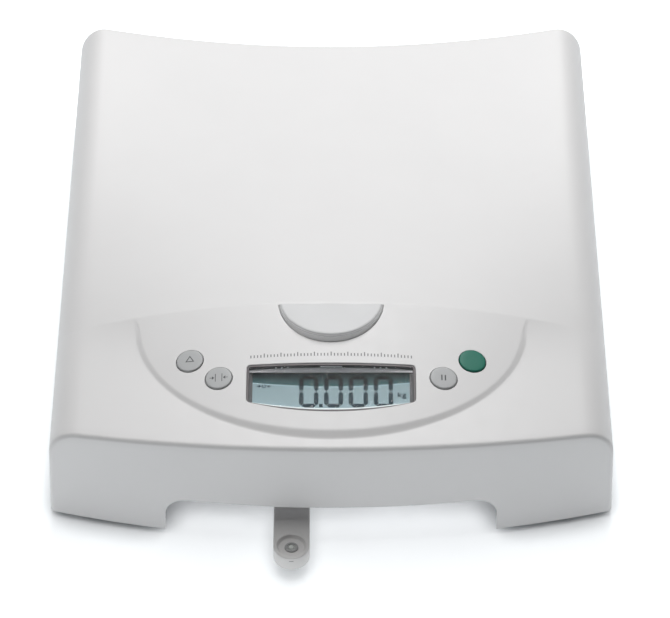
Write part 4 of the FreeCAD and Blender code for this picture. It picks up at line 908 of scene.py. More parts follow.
@dataclass(frozen=True)
class HousingForm:
    """Outer form of the housing in millimetres."""

    half_width: float = 144.2
    depth: float = 337.0
    skirt_z: float = 4.0
    side_draft: float = math.tan(math.radians(1.75))
    front_draft: float = math.tan(math.radians(2.5))
    rear_draft: float = math.tan(math.radians(1.5))
    bow_r: float = 541.0
    shoulder_x: float = 127.0
    shoulder_front_z: float = 59.7
    shoulder_rear_z: float = 70.0
    corner_drop: float = 16.8
    crown_front: float = 5.8
    crown_ridge: float = 18.6
    crown_rear: float = -13.0
    ridge_back: float = 94.0
    apron_power: float = 5.0
    cradle_power: float = 1.25
    handle: float = 0.5523
    panel_slope: float = 0.16
    panel_r: float = 104.0
    panel_centre: float = 117.8
    band_fall: float = 2.3 / 3.6
    band_reach: float = 9.0
    rim_drop: float = 12.77
    crease_gap: float = 0.9
    soft_step: float = 0.45
    soft_ridge: float = 3.0
    soft_band: Pair = (100.0, 113.0)

    @property
    def ridge_z(self) -> float:
        """Height of the ridge on the centre plane."""
        return self.shoulder_z(self.ridge_back) + self.crown_ridge

    def shoulder_z(self, back: float) -> float:
        """Height of the shoulder line."""
        rise = self.shoulder_rear_z - self.shoulder_front_z
        return self.shoulder_front_z + rise * back / self.depth

    def crown(self, back: float) -> float:
        """Height of the middle of the top above the shoulder line.

        Args:
            back: distance behind the front wall.

        Returns:
            The height.
        """
        if back <= self.ridge_back:
            rise = (max(back, 0.0) / self.ridge_back) ** self.apron_power
            return self.crown_front + (self.crown_ridge - self.crown_front) * rise
        left = max(1 - (back - self.ridge_back) / (self.depth - self.ridge_back), 0.0)
        return self.crown_rear + (self.crown_ridge - self.crown_rear) * left ** self.cradle_power

    def body_height(self, x: float, back: float) -> float:
        """Height of the apron and the cradle, without the panel."""
        return self.shoulder_z(back) + self.crown(back) * (1 - (x / self.shoulder_x) ** 2)

    def panel_height(self, x: float, back: float) -> float:
        """Height of the sloping, crowned panel."""
        return (self.ridge_z - self.panel_slope * (self.ridge_back - back)
                - self.crown_ridge * (x / self.shoulder_x) ** 2)

    def band_height(self, x: float, back: float) -> float:
        """Height of the bevelled band round the panel, without limit inside its rim."""
        out = math.hypot(x, self.panel_centre - back) - self.panel_r
        return math.inf if out < 0 else self.ridge_z - self.rim_drop - out * self.band_fall

    def raw_height(self, x: float, back: float) -> float:
        """Height of the top with crisp creases.

        Args:
            x: distance from the centre plane.
            back: distance behind the front wall.

        Returns:
            The height.
        """
        body = self.body_height(x, back)
        if back >= self.ridge_back or abs(x) > self.panel_r:
            return body
        return max(body, min(self.panel_height(x, back), self.band_height(x, back)))

    def height(self, x: float, back: float) -> float:
        """Height of the top with its creases softened a little.

        Args:
            x: distance from the centre plane.
            back: distance behind the front wall.

        Returns:
            The height; beside a crease it is the weighted mean of 25 places.
        """
        inner, outer = self.soft_band
        on_band = (back < self.ridge_back
                   and inner < math.hypot(x, self.panel_centre - back) < outer)
        if abs(back - self.ridge_back) > self.soft_ridge and not on_band:
            return self.raw_height(x, back)
        total = 0.0
        for i, across in SOFTENING:
            for j, along in SOFTENING:
                total += across * along * self.raw_height(x + i * self.soft_step,
                                                          back + j * self.soft_step)
        return total / sum(share for _, share in SOFTENING) ** 2

    def front_bow(self, x: float) -> float:
        """How far the bowed front wall lies back at a distance from the centre plane."""
        return self.bow_r - math.sqrt(self.bow_r ** 2 - x ** 2)

    def wall_x(self, z: float, inset: float) -> float:
        """Half width at a height."""
        return self.half_width - (z - self.skirt_z) * self.side_draft - inset

    def section(self, column: Column, back: float, inset: float, low_z: float) -> Pair:
        """Point of the cross-section, moved in by inset.

        Args:
            column: which line of the sheet.
            back: distance behind the front wall.
            inset: distance inside the outer form.
            low_z: height of the wall's foot.

        Returns:
            x and z.
        """
        top = self.shoulder_z(back) - inset
        drop = self.corner_drop - inset
        if column.zone is Zone.TOP:
            return column.side * column.place, self.height(column.place, back) - inset
        if column.zone is Zone.WALL:
            z = low_z + (top - drop - low_z) * column.place
            return column.side * self.wall_x(z, inset), z
        start = Vector((self.wall_x(top - drop, inset), top - drop))
        end = Vector((self.shoulder_x, top))
        up = Vector((-self.side_draft, 1.0)).normalized()
        out = Vector((1.0, -2 * self.crown(back) / self.shoulder_x)).normalized()
        poles = [start, start + up * self.handle * drop,
                 end + out * self.handle * (start.x - end.x), end]
        t = column.place
        shares = ((1 - t) ** 3, 3 * t * (1 - t) ** 2, 3 * t * t * (1 - t), t ** 3)
        point = sum((p * s for p, s in zip(poles, shares)), Vector((0.0, 0.0)))
        return column.side * point.x, point.y

    def front_wall(self, x: float, z: float) -> float:
        """Distance back of the front wall at a point."""
        return self.front_bow(x) + (z - self.skirt_z) * self.front_draft

    def rear_wall(self, z: float) -> float:
        """Distance back of the rear wall at a height."""
        return self.depth - (z - self.skirt_z) * self.rear_draft

    def band_edge(self, x: float, rule: Callable[[float, float], float]) -> float:
        """Where the band meets another surface on a line that runs back.

        Args:
            x: distance from the centre plane.
            rule: height of the other surface.

        Returns:
            Distance back.
        """
        near, away = (self.panel_centre - math.sqrt(r ** 2 - x * x)
                      for r in (self.panel_r, self.panel_r + self.band_reach))
        if rule(x, near) >= self.band_height(x, near - 1e-6):
            return near
        for _ in range(30):
            middle = (near + away) / 2
            if self.band_height(x, middle) > rule(x, middle):
                near = middle
            else:
                away = middle
        return (near + away) / 2

    def band_lines(self, x: float) -> Pair:
        """Where the band's outer and inner creases cross a line that runs back.

        Args:
            x: distance from the centre plane.

        Returns:
            Distances back of the outer and the inner crease; near the panel's tips and beyond
            them they close up in front of the ridge.
        """
        inner = outer = self.ridge_back
        if abs(x) < self.panel_r:
            inner = self.band_edge(abs(x), self.panel_height)
            outer = self.band_edge(abs(x), self.body_height)
        inner = min(inner, self.ridge_back - self.crease_gap)
        return min(outer, inner - self.crease_gap), inner


def spread(low: float, high: float, count: int, near_low: bool, near_high: bool) -> list[float]:
    """Places between two lines, closer together beside a crease.

    Args:
        low: first line.
        high: second line.
        count: evenly spread places between the two.
        near_low: whether the first line is a crease.
        near_high: whether the second is.

    Returns:
        The places in order, without the two lines themselves.
    """
    steps = (0.45, 0.9, 1.5)
    share = min(1.0, (high - low) / 9.0)
    first = [low + s * share for s in steps] if near_low else []
    last = [high - s * share for s in reversed(steps)] if near_high else []
    start = first[-1] if first else low
    end = last[0] if last else high
    middle = [start + (end - start) * (k + 1) / (count + 1) for k in range(count)]
    return [*first, *middle, *last]


@dataclass
class HousingBlock:
    """Closed block in the housing's form, moved in by an inset.

    Attributes:
        form: the outer form.
        inset: distance inside it.
        low_z: height of the block's foot.
        edge_r: rounding at the front and rear walls.
        fine: whether it follows the creases closely.
    """

    form: HousingForm
    inset: float = 0.0
    low_z: float = 4.0
    edge_r: float = 2.2
    fine: bool = True
    arc_steps: int = 5
    wall_rows: int = 14
    wall_columns: int = 12
    shoulder_columns: int = 15
    top_stops: Sequence[tuple[float, int]] = ((106.0, 10), (90.0, 24), (60.0, 20), (0.0, 20))
    apron_rows: int = 15
    band_rows: int = 5
    panel_rows: int = 30
    cradle_rows: int = 60

    def thin(self, count: int) -> int:
        """How many of these lines the block has: a rough one has a third."""
        return count if self.fine else count // 3

    def columns(self) -> list[Column]:
        """Lines of the sheet from the left foot to the right foot.

        Returns:
            The lines in order.
        """
        walls, arcs = self.thin(self.wall_columns), self.thin(self.shoulder_columns)
        half = [Column(1, Zone.WALL, i / walls) for i in range(walls + 1)]
        half += [Column(1, Zone.SHOULDER, i / arcs) for i in range(1, arcs)]
        start = self.form.shoulder_x
        for end, count in self.top_stops:
            count = self.thin(count)
            half += [Column(1, Zone.TOP, start + (end - start) * i / count) for i in range(count)]
            start = end
        left = [Column(-1, c.zone, c.place) for c in half]
        return [*left, Column(1, Zone.TOP, 0.0), *reversed(half)]

    def rim(self, column: Column, inset: float, off: float, rear: bool) -> Point:
        """Point of the rounded edge where the sheet meets the front or the rear wall.

        Args:
            column: line of the sheet.
            inset: how far the cross-section is moved in there.
            off: how far the point lies behind the wall's face.
            rear: whether it is the rear wall.

        Returns:
            x, back and z.
        """
        back = self.form.depth if rear else 0.0
        for _ in range(8):
            x, z = self.form.section(column, back, inset, self.low_z)
            back = self.form.rear_wall(z) - off if rear else self.form.front_wall(x, z) + off
        return x, back, z

    def column_points(self, column: Column) -> list[Point]:
        """Points of one line of the sheet from the front wall to the rear wall.

        Args:
            column: the line.

        Returns:
            x, back and z of each point.
        """
        form, r, quarter = self.form, self.edge_r, math.pi / 2
        steps = range(self.arc_steps + 1) if r else [self.arc_steps]
        angles = [quarter * k / self.arc_steps for k in steps]
        front, rear = ([self.rim(column, self.inset + r * (1 - math.sin(a)),
                                 self.inset + r * (1 - math.cos(a)), at_rear) for a in order]
                       for at_rear, order in ((False, angles), (True, angles[::-1])))
        on_top = column.zone is Zone.TOP
        outer, inner = form.band_lines(column.place if on_top else form.shoulder_x)
        start, end, ridge = front[-1][1], rear[0][1], form.ridge_back
        backs = [*spread(start, outer, self.thin(self.apron_rows), False, self.fine), outer,
                 *spread(outer, inner, self.thin(self.band_rows), False, False), inner,
                 *spread(inner, ridge, self.thin(self.panel_rows), self.fine, self.fine), ridge,
                 *spread(ridge, end, self.thin(self.cradle_rows), self.fine, False)]
        middle = []
        for back in backs:
            x, z = form.section(column, back, self.inset, self.low_z)
            middle.append((x, back, z))
        return [*front, *middle, *rear]

    def end_wall(self, ring: list[Point], rear: bool) -> Shape:
        """Sheet that closes the front or the rear, under the sheet's last row.

        Args:
            ring: the row's points from the left foot to the right foot.
            rear: whether it is the rear wall.

        Returns:
            The sheet.
        """
        form, top_x = self.form, self.form.shoulder_x
        per_side = sum(abs(p[0]) > top_x + 1e-6 for p in ring) // 2
        foot = abs(ring[0][0])
        feet = []
        for k, (x, _, _) in enumerate(ring):
            away = min(k, len(ring) - 1 - k)
            if away < per_side:
                x = math.copysign(foot + (top_x - foot) * away / per_side, x)
            feet.append(x)

        def place(i: int, j: int) -> Point:
            """Point between the foot line and the sheet's last row.

            Args:
                i: its place along the wall.
                j: its row, counted from the foot line.

            Returns:
                The point.
            """
            share = j / self.wall_rows
            x = feet[i] + (ring[i][0] - feet[i]) * share
            z = self.low_z + (ring[i][2] - self.low_z) * share
            back = form.rear_wall(z) - self.inset if rear else form.front_wall(x, z) + self.inset
            return x, FRONT_Y + back, z

        return Shape.grid(len(ring) - 1, self.wall_rows, place)

    def build(self) -> Shape:
        """Makes the closed block.

        Returns:
            The block.
        """
        lines = [self.column_points(c) for c in self.columns()]

        def place(i: int, j: int) -> Point:
            """Point of the sheet over walls, shoulders and top."""
            x, back, z = lines[i][j]
            return x, FRONT_Y + back, z

        shape = Shape.grid(len(lines) - 1, len(lines[0]) - 1, place)
        shape.add(self.end_wall([line[0] for line in lines], False),
                  self.end_wall([line[-1] for line in lines], True))
        bmesh.ops.remove_doubles(shape.bm, verts=shape.bm.verts, dist=2e-3)
        rim = [e for e in shape.bm.edges if e.is_boundary]
        bmesh.ops.holes_fill(shape.bm, edges=rim, sides=0)
        bmesh.ops.recalc_face_normals(shape.bm, faces=shape.bm.faces)
        return shape


# ================================================================ the panel's frame
@dataclass(frozen=True)
class PanelFrame:
    """Frame on the control panel: x across, y up the slope, w along the normal."""

    form: HousingForm
    back: float = 41.0

    @property
    def tilt(self) -> float:
        """Slope of the panel as an angle."""
        return math.atan(self.form.panel_slope)

    @property
    def origin(self) -> Point:
        """Place of the frame's origin."""
        z = self.form.ridge_z - self.form.panel_slope * (self.form.ridge_back - self.back)
        return 0.0, FRONT_Y + self.back, z

    def y_at(self, back: float) -> float:
        """Distance up the slope of a point that lies back from the front wall."""
        return (back - self.back) / math.cos(self.tilt)

    def surface(self, x: float) -> float:
        """Height of the crowned surface along the normal."""
        sag = self.form.crown_ridge / self.form.shoulder_x ** 2
        return -sag * x * x * math.cos(self.tilt)

    def follow(self, shape: Shape, above: float = -math.inf) -> Shape:
        """Bends a shape with the panel's crown.

        Args:
            shape: shape whose heights count from a flat surface.
            above: only corners higher than this are moved.

        Returns:
            The same shape.
        """
        return shape.bend(lambda p: (p.x, p.y, p.z + self.surface(p.x)) if p.z > above else p)

    def to_scale(self, shape: Shape) -> Shape:
        """Places a shape of this frame on the scale."""
        return shape.turn(math.degrees(self.tilt), "X").shift(*self.origin)


# ================================================================ display
@dataclass
class Display:
    """Window in the panel with its bezel, lens, glass and figures."""

    panel: PanelFrame
    half: float = 42.8
    up: float = 14.3
    low: float = -8.6
    bow: float = 7.4
    steps: int = 36
    corner_r: float = 2.0
    opening: Pair = (-14.0, 6.0)
    chamfer: float = 0.3
    depth: float = 6.9
    bezel_gap: float = 0.1
    bezel_wall: float = 1.2
    bezel_sink: float = 0.35
    bezel_edge: float = 0.25
    flange_out: float = 2.4
    flange_sink: float = 2.87
    flange_t: float = 1.2
    lens_sink: float = 0.7
    lens_t: float = 1.5
    edge_w: float = 0.7
    edge_t: float = 0.5
    digit_low: float = -8.76
    digit_high: float = 11.17
    digit_spans: Sequence[Pair] = ((-16.26, -6.41), (-3.56, 6.07), (8.89, 18.69), (21.55, 31.39))
    point: Sequence[float] = (-6.1, -8.6, -4.2, -6.6)
    balance: Pair = (-34.0, 4.5)
    stroke: float = 2.3
    stroke_gap: float = 0.16
    ink_t: float = 0.05
    unit_size: float = 4.6
    unit_place: Pair = (33.5, -2.3)
    bar_h: float = 4.6
    pin_places: Sequence[float] = (-28.0, -25.0, -22.0, 22.0, 25.0, 28.0)
    cheek_w: float = 1.7
    ledge_w: float = 1.75
    ledge_fall: float = 1.8
    # Where the painted shadow band on the glass begins, up the slope.
    shadow_band_y: float = 6.4

    def bow_y(self, x: float, inset: float) -> float:
        """Place of the bowed edge along y, moved in by inset.

        Args:
            x: distance from the centre plane.
            inset: how far the window's outline is moved in.

        Returns:
            The place.
        """
        half, fall = self.half - inset, self.bow - inset
        arc_r = (half ** 2 + fall ** 2) / (2 * fall)
        return self.low - fall + arc_r - math.sqrt(arc_r ** 2 - x * x)

    def outline(self, inset: float, w: float, shape: Optional[Shape] = None) -> Shape:
        """Outline of the window as one flat face.

        Args:
            inset: how far it is moved in.
            w: height of the face.
            shape: shape that takes the face, or a new one.

        Returns:
            The shape.
        """
        half, up = self.half - inset, self.up - inset

        def place(i: int, j: int) -> Point:
            """Corner of the strip between the bowed and the straight edge."""
            x = half * (2 * i / self.steps - 1)
            return x, up if j else self.bow_y(x, inset), w

        face = Shape.grid(self.steps, 1, place)
        bmesh.ops.dissolve_faces(face.bm, faces=face.bm.faces[:], use_verts=False)
        corners = [v for v in face.bm.verts if abs(abs(v.co.x) - half) < 1e-3]
        bmesh.ops.bevel(face.bm, geom=corners, offset=max(self.corner_r - inset, 0.4),
                        offset_type="OFFSET", segments=5, profile=0.5, affect="VERTICES",
                        material=-1)
        return face if shape is None else shape.add(face)

    def stack(self, levels: Sequence[Pair], closed: bool,
              bent: Callable[[float], bool] = lambda w: False) -> Shape:
        """Walls that run from outline to outline.

        Args:
            levels: inset and height of each outline in order.
            closed: whether the last joins the first, as round a ring; else both ends are capped.
            bent: whether corners of this height follow the panel's crown.

        Returns:
            The closed shape, in the panel's frame.
        """
        shape, loops = Shape(), []
        for inset, w in levels:
            start = len(shape.bm.verts)
            self.outline(inset, w, shape)
            shape.bm.verts.ensure_lookup_table()
            loops.append(set(shape.bm.verts[start:]))
        shape.bm.faces.ensure_lookup_table()
        inner = shape.bm.faces[:] if closed else shape.bm.faces[1:-1]
        bmesh.ops.delete(shape.bm, geom=inner, context="FACES_ONLY")
        for first, second in zip(loops, [*loops[1:], loops[0]] if closed else loops[1:]):
            edges = [e for e in shape.bm.edges
                     if set(e.verts) <= first or set(e.verts) <= second]
            bmesh.ops.bridge_loops(shape.bm, edges=edges)
        shape.bend(lambda p: (p.x, p.y, p.z + self.panel.surface(p.x)) if bent(p.z) else p)
        return shape.tidy()

    def cutter(self) -> Shape:
        """Opening in the cover, with a small chamfer at the surface.

        Returns:
            The shape to cut out, in the scale's frame.
        """
        (bottom, top), edge = self.opening, self.chamfer
        shape = self.stack([(0.0, bottom), (0.0, -edge), (-edge, 0.0), (-edge, top)], False,
                           lambda w: -1.0 < w < 1.0)
        return self.panel.to_scale(shape)

    def follow_sliced(self, shape: Shape, above: float = -math.inf) -> Shape:
        """Divides a long shape along x and bends it with the panel's crown.

        Args:
            shape: shape whose heights count from a flat surface.
            above: only corners higher than this are moved.

        Returns:
            The same shape.
        """
        for k in range(-10, 11):
            bmesh.ops.bisect_plane(shape.bm, geom=shape.everything, plane_co=(4.0 * k, 0, 0),
                                   plane_no=(1, 0, 0))
        return self.panel.follow(shape, above).tidy()

    def lens(self, inset: float) -> Shape:
        """Clear pane that follows the panel's crown.

        Args:
            inset: how far it lies in from the window's outline.

        Returns:
            The pane, in the panel's frame.
        """
        shape = self.outline(inset, -self.lens_sink - self.lens_t)
        shape.draw_out(shape.bm.faces[:], (0, 0, self.lens_t)).tidy()
        return self.follow_sliced(shape)

    def ledge(self, half: float, wall: float) -> Shape:
        """Sloping bar along the rear inside of the bezel; only its top follows the crown.

        Args:
            half: half its length.
            wall: place of the wall it stands on.

        Returns:
            The bar.
        """
        top, nose, foot = self.bar_h - self.depth, wall - self.ledge_w, wall + 0.02
        low = top - self.ledge_fall
        corners = [(foot, top), (nose, low), (nose, low - 0.3), (foot, low - 0.5)]
        bar = Shape.prism([(-half, y, w) for y, w in corners], (2 * half, 0, 0))
        return self.follow_sliced(bar, top - 0.5)

    def cheeks(self, inset: float) -> Shape:
        """Sloping insides at the two ends of the bezel, under the pane.

        Args:
            inset: how far the bezel's inside lies in from the window's outline.

        Returns:
            Both cheeks, in the panel's frame.
        """
        half, front, floor = self.half - inset + 0.05, self.low + 0.6, -self.depth
        top = self.panel.surface(half) - self.lens_sink - self.lens_t - 0.05
        corners = [(half, top), (half, floor + 0.02), (half - self.cheek_w, floor + 0.02),
                   (half - self.cheek_w, floor + 0.2)]
        return Shape().add(*(Shape.prism([(side * x, front, w) for x, w in corners],
                                         (0, self.up - inset - front, 0)) for side in (-1, 1)))

    def lens_edge_highlight(self, inset: float) -> Shape:
        """Pale strip along the pane's bowed side, a painted highlight that stands for light caught
        in the pane's polished edge.

        Args:
            inset: how far it lies in from the window's outline.

        Returns:
            The strip, in the panel's frame.
        """
        def place(i: int, j: int) -> Point:
            """Corner of the strip, which narrows towards both ends.

            Args:
                i: its place along the strip.
                j: 0 on the window's side, 1 on the inner side.

            Returns:
                The corner.
            """
            x = (self.half - inset - 1.2) * (2 * i / self.steps - 1)
            width = self.edge_w * (1 - (x / self.half) ** 4)
            return x, self.bow_y(x, inset) + j * width, 0.1 - self.lens_sink - self.edge_t

        strip = Shape.grid(self.steps, 1, place)
        strip.draw_out(strip.bm.faces[:], (0, 0, self.edge_t)).tidy()
        return self.panel.follow(strip)

    def segment(self, a: Pair, b: Pair) -> list[Pair]:
        """Outline of one stroke of a figure, pointed at both ends.

        Args:
            a: one end of its middle line.
            b: the other end.

        Returns:
            The corners in order.
        """
        start, end = Vector(a), Vector(b)
        along = (end - start).normalized()
        across = Vector((-along.y, along.x)) * self.stroke / 2
        tip, heel = self.stroke_gap, self.stroke_gap + self.stroke / 2
        return [tuple(c) for c in (
            start + along * tip, start + along * heel + across, end - along * heel + across,
            end - along * tip, end - along * heel - across, start + along * heel - across)]

    def zero(self, left: float, right: float) -> list[list[Pair]]:
        """Outlines of the figure 0 between two sides.

        Args:
            left: its left side.
            right: its right side.

        Returns:
            The outlines of its six strokes.
        """
        r = self.stroke / 2
        x0, x1, y0, y2 = left + r, right - r, self.digit_low + r, self.digit_high - r
        y1 = (y0 + y2) / 2
        lines = [((x0, y), (x1, y)) for y in (y0, y2)]
        lines += [((x, a), (x, b)) for x in (x0, x1) for a, b in ((y0, y1), (y1, y2))]
        return [self.segment(a, b) for a, b in lines]

    def figures(self) -> Shape:
        """The reading: four noughts, a point and a balance sign.

        Returns:
            All of it, lying flat.
        """
        outlines = [stroke for span in self.digit_spans for stroke in self.zero(*span)]
        outlines.append(rectangle(*self.point))
        x, y = self.balance
        for side in (-1, 1):
            outlines += [rectangle(x + side * 2.6, y - 0.2, x + side * 3.7, y + 0.2),
                         [(x + side * 2.7, y - 1.0), (x + side * 2.7, y + 1.0),
                          (x + side * 1.5, y)]]
        ring = Shape.lathe([*rectangle(0.7, 0.0, 1.15, self.ink_t), (0.7, 0.0)], 24)
        return Shape.plates(outlines, self.ink_t).add(ring.shift(x, y))

    def unit(self) -> Shape:
        """The kilogram sign beside the reading.

        Returns:
            The sign, lying flat.
        """
        curve = bpy.data.curves.new("unit_sign", "FONT")
        curve.body, curve.size, curve.extrude = "kg", self.unit_size, self.ink_t / 2
        curve.offset, curve.space_character = 0.11, 1.15
        holder = bpy.data.objects.new("unit_sign", curve)
        bpy.context.scene.collection.objects.link(holder)
        bpy.context.view_layer.update()
        mesh = bpy.data.meshes.new_from_object(holder)
        bpy.data.objects.remove(holder)
        shape = Shape()
        shape.bm.from_mesh(mesh)
        bpy.data.meshes.remove(mesh)
        return shape.shift(*self.unit_place, self.ink_t / 2)

    def film(self) -> DisplayFilm:
        """Finish of the glass, with painted light and shade: a painted shadow band along the top
        and a painted highlight line under it.

        Returns:
            The finish.
        """
        # Painted light and shade: below the band's edge the glass is lit, and painted lighter
        # towards its lower edge; at the edge runs a painted highlight line; above it lies the
        # painted shadow of the bezel's rear wall, darkest at the top.
        lit, shade, y = (0.36, 0.49, 0.53), (0.024, 0.058, 0.062), self.shadow_band_y
        return DisplayFilm("display_film_painted_shade", self.panel.tilt, self.panel.origin, (
            (-16.0, tinted(lit, 1.5)), (-9.0, tinted(lit, 1.22)), (-2.0, lit),
            (y - 0.15, tinted(lit, 0.95)), (y, tinted(lit, 1.6)), (y + 0.3, tinted(lit, 1.6)),
            (y + 0.5, tinted(shade, 2.6)), (y + 3.2, tinted(shade, 1.7)), (13.0, shade)))

    def ink(self) -> DisplayFilm:
        """Finish of the figures, painted darker inside the painted shadow band.

        Returns:
            The finish.
        """
        return DisplayFilm("segment_ink_painted_shade", self.panel.tilt, self.panel.origin, (
            (-10.0, (0.022, 0.046, 0.062)), (self.shadow_band_y, (0.02, 0.042, 0.056)),
            (self.shadow_band_y + 0.4, (0.006, 0.01, 0.014))))

    def bezel(self, inner: float) -> Shape:
        """Ring round the window with its flange under the cover.

        Args:
            inner: how far the ring's inside lies in from the window's outline.

        Returns:
            The bezel, in the panel's frame.
        """
        gap, low, top, edge = self.bezel_gap, -self.depth, -self.bezel_sink, self.bezel_edge
        ring = self.stack([(gap, low), (gap, top - edge), (gap + edge, top), (inner - edge, top),
                           (inner, top - edge), (inner, low)], True, lambda w: w > -1.0)
        high = self.panel.surface(self.half + self.flange_out) - self.flange_sink
        return ring.add(self.stack([(-self.flange_out, high - self.flange_t),
                                    (-self.flange_out, high), (gap, high),
                                    (gap, high - self.flange_t)], True))

    def build(self) -> None:
        """Makes the display's pieces."""
        inner = self.bezel_gap + self.bezel_wall
        wall, floor, bar_top = self.up - inner, 0.02 - self.depth, self.bar_h - self.depth
        bar = self.ledge(self.half - inner - 0.05, wall)
        clip = Shape.block((-5.6, wall - 0.3, bar_top + 0.5),
                           (5.6, wall + 0.02, bar_top + 1.3), 0.12)
        pins = Shape()
        for x in self.pin_places:
            pin = Shape.lathe([(0, 0), (0.5, 0), (0.5, 0.25), (0.35, 0.35), (0, 0.35)], 16)
            pins.add(pin.turn(90, "X").shift(
                x, wall - 0.02, bar_top + 0.6 + self.panel.surface(x)))
        for name, shape, finish, slot, replaced in (
                ("bezel_skin", self.bezel(inner), Paint.BEZEL, Slot.BEZEL, ["display_bezel"]),
                # The ledge, clip and pins are painted lighter than the bezel, as lit.
                ("bezel_bar", bar.add(clip), Paint.BAR_PAINTED_LIGHT, Slot.BEZEL, []),
                ("bezel_pins", pins, Paint.BAR_PAINTED_LIGHT, Slot.BEZEL, []),
                # The cheeks are painted lighter than the bezel, as lit.
                ("bezel_cheeks", self.cheeks(inner), Paint.CHEEK_PAINTED_LIGHT, Slot.BEZEL, []),
                ("lens", self.lens(inner + 0.05), Paint.LENS, Slot.LENS, ["display_window"]),
                # A painted highlight strip along the pane's bowed edge.
                ("lens_edge_highlight", self.lens_edge_highlight(inner + 0.1), Paint.LENS_EDGE_HIGHLIGHT, Slot.LENS, []),
                ("figures", self.figures().shift(z=floor), self.ink(), Slot.LCD, []),
                ("unit", self.unit().shift(z=floor), self.ink(), Slot.LCD, [])):
            settle(self.panel.to_scale(shape), "display_" + name, finish, Body.BASE, replaced)


# ================================================================ keys
class Mark(Enum):
    """Signs printed on the keys."""

    TRIANGLE = 1
    LIMITS = 2
    PAUSE = 3
    NONE = 4


@dataclass(frozen=True)
class Key:
    """One round key: cap, flange, stem, printed sign and the silicone dome under it."""

    node: str
    body: Body
    x: float
    back: float
    mark: Mark
    finish: Moulded
    slot: Slot
    radius: float = 6.75
    gap: float = 0.38
    proud: float = 0.8
    skirt: float = 4.65
    cap_t: float = 0.8
    flange: float = 1.1
    flange_t: float = 1.0
    flange_sink: float = 2.9
    stem_r: float = 2.2
    stem_low: float = -12.0
    edge: float = 0.7
    travel: float = 1.2
    board_w: float = -14.8
    spring_r: float = 4.6
    spring_top_r: float = 2.8
    spring_h: float = 2.7
    spring_wall: float = 0.7

    def cutter(self, panel: PanelFrame) -> Shape:
        """Hole for the key in the cover.

        Args:
            panel: the panel's frame.

        Returns:
            What is cut out.
        """
        r, chamfer = self.radius + self.gap, 0.15
        hole = Shape.lathe([(0, -16), (r, -16), (r, -chamfer), (r + chamfer, 0), (r + chamfer, 6),
                            (0, 6)], 72)
        return self.put(panel, hole, -1.0)

    def put(self, panel: PanelFrame, shape: Shape, above: float = -math.inf) -> Shape:
        """Places a shape that is drawn about the key's own axis."""
        return panel.to_scale(panel.follow(shape.shift(self.x, panel.y_at(self.back)), above))

    def sign(self) -> list[list[Pair]]:
        """Outlines of the printed sign about the key's own axis.

        Returns:
            The outlines, none for a bare key.
        """
        if self.mark is Mark.TRIANGLE:
            outer = [(-2.3, -1.0), (2.3, -1.0), (0.0, 2.9)]
            inner = [(-1.5, -0.56), (1.5, -0.56), (0.0, 2.0)]
            return [[outer[k], outer[n], inner[n], inner[k]] for k, n in ((0, 1), (1, 2), (2, 0))]
        right = {
            Mark.LIMITS: [rectangle(1.5, -2.4, 1.85, 2.4), rectangle(3.3, -0.16, 4.6, 0.16),
                          [(2.2, 0.0), (3.4, 1.05), (3.4, -1.05)]],
            Mark.PAUSE: [rectangle(0.55, -1.7, 1.25, 1.7)],
        }.get(self.mark, [])
        return [[(side * x, y) for x, y in outline] for side in (-1, 1) for outline in right]

    def spring(self, panel: PanelFrame) -> None:
        """Makes the silicone dome under the key.

        Args:
            panel: the panel's frame.
        """
        foot, high = self.board_w, self.board_w + self.spring_h
        wide, top, wall = self.spring_r, self.spring_top_r, self.spring_wall
        under = high - wall - 0.1
        profile = [(0.0, high), (top - 0.25, high), (top - 0.07, high - 0.08), (top, high - 0.25),
                   (wide - 0.35, foot + 0.42), (wide - 0.1, foot + 0.32), (wide, foot + 0.2),
                   (wide, foot), (wide - wall, foot), (wide - wall, foot + 0.12),
                   (top - wall - 0.1, under - 0.15), (top - wall - 0.3, under), (0.0, under)]
        y = panel.y_at(self.back)
        dome = panel.to_scale(Shape.lathe(profile, 48).shift(self.x, y))
        node = self.node + "_dome"
        made = settle(dome, node + "_spring", Paint.SILICONE, Body.BASE, [node])
        turn = Matrix.Rotation(panel.tilt, 3, "X")
        anchor = (turn @ Vector((self.x, y, foot)) + Vector(panel.origin)) * MM
        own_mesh(made)

    def build(self, panel: PanelFrame) -> None:
        """Makes the key, its sign and the dome under it.

        Args:
            panel: the panel's frame.
        """
        top, r, out = self.proud, self.radius, self.radius + self.flange
        base = panel.surface(self.x)
        high = panel.surface(abs(self.x) + out) - self.flange_sink - base
        low, under = high - self.flange_t, top - self.skirt - self.cap_t
        foot = self.stem_low - base
        crown = [(0.0, top - 0.02), (r * 0.5, top - 0.01)]
        cap = Shape.lathe([*crown, *round_over(r, top, self.edge, 15.0, 7), (r, high), (out, high),
                           (out, low), (r, low), (r, under), (self.stem_r, under),
                           (self.stem_r, foot), (0.0, foot)], 72)
        cap.shift(self.x, panel.y_at(self.back)).bend(
            lambda p: (p.x, p.y, p.z + (panel.surface(p.x) if p.z > high + 0.05 else base)))
        settle(panel.to_scale(cap), self.node + "_cap", self.finish, self.body,
               [self.node])
        self.spring(panel)
        outlines = self.sign()
        if outlines:
            sign = self.put(panel, Shape.plates(outlines, INK_T).shift(z=top))
            settle(sign, self.node + "_sign", Paint.MARK, self.body)


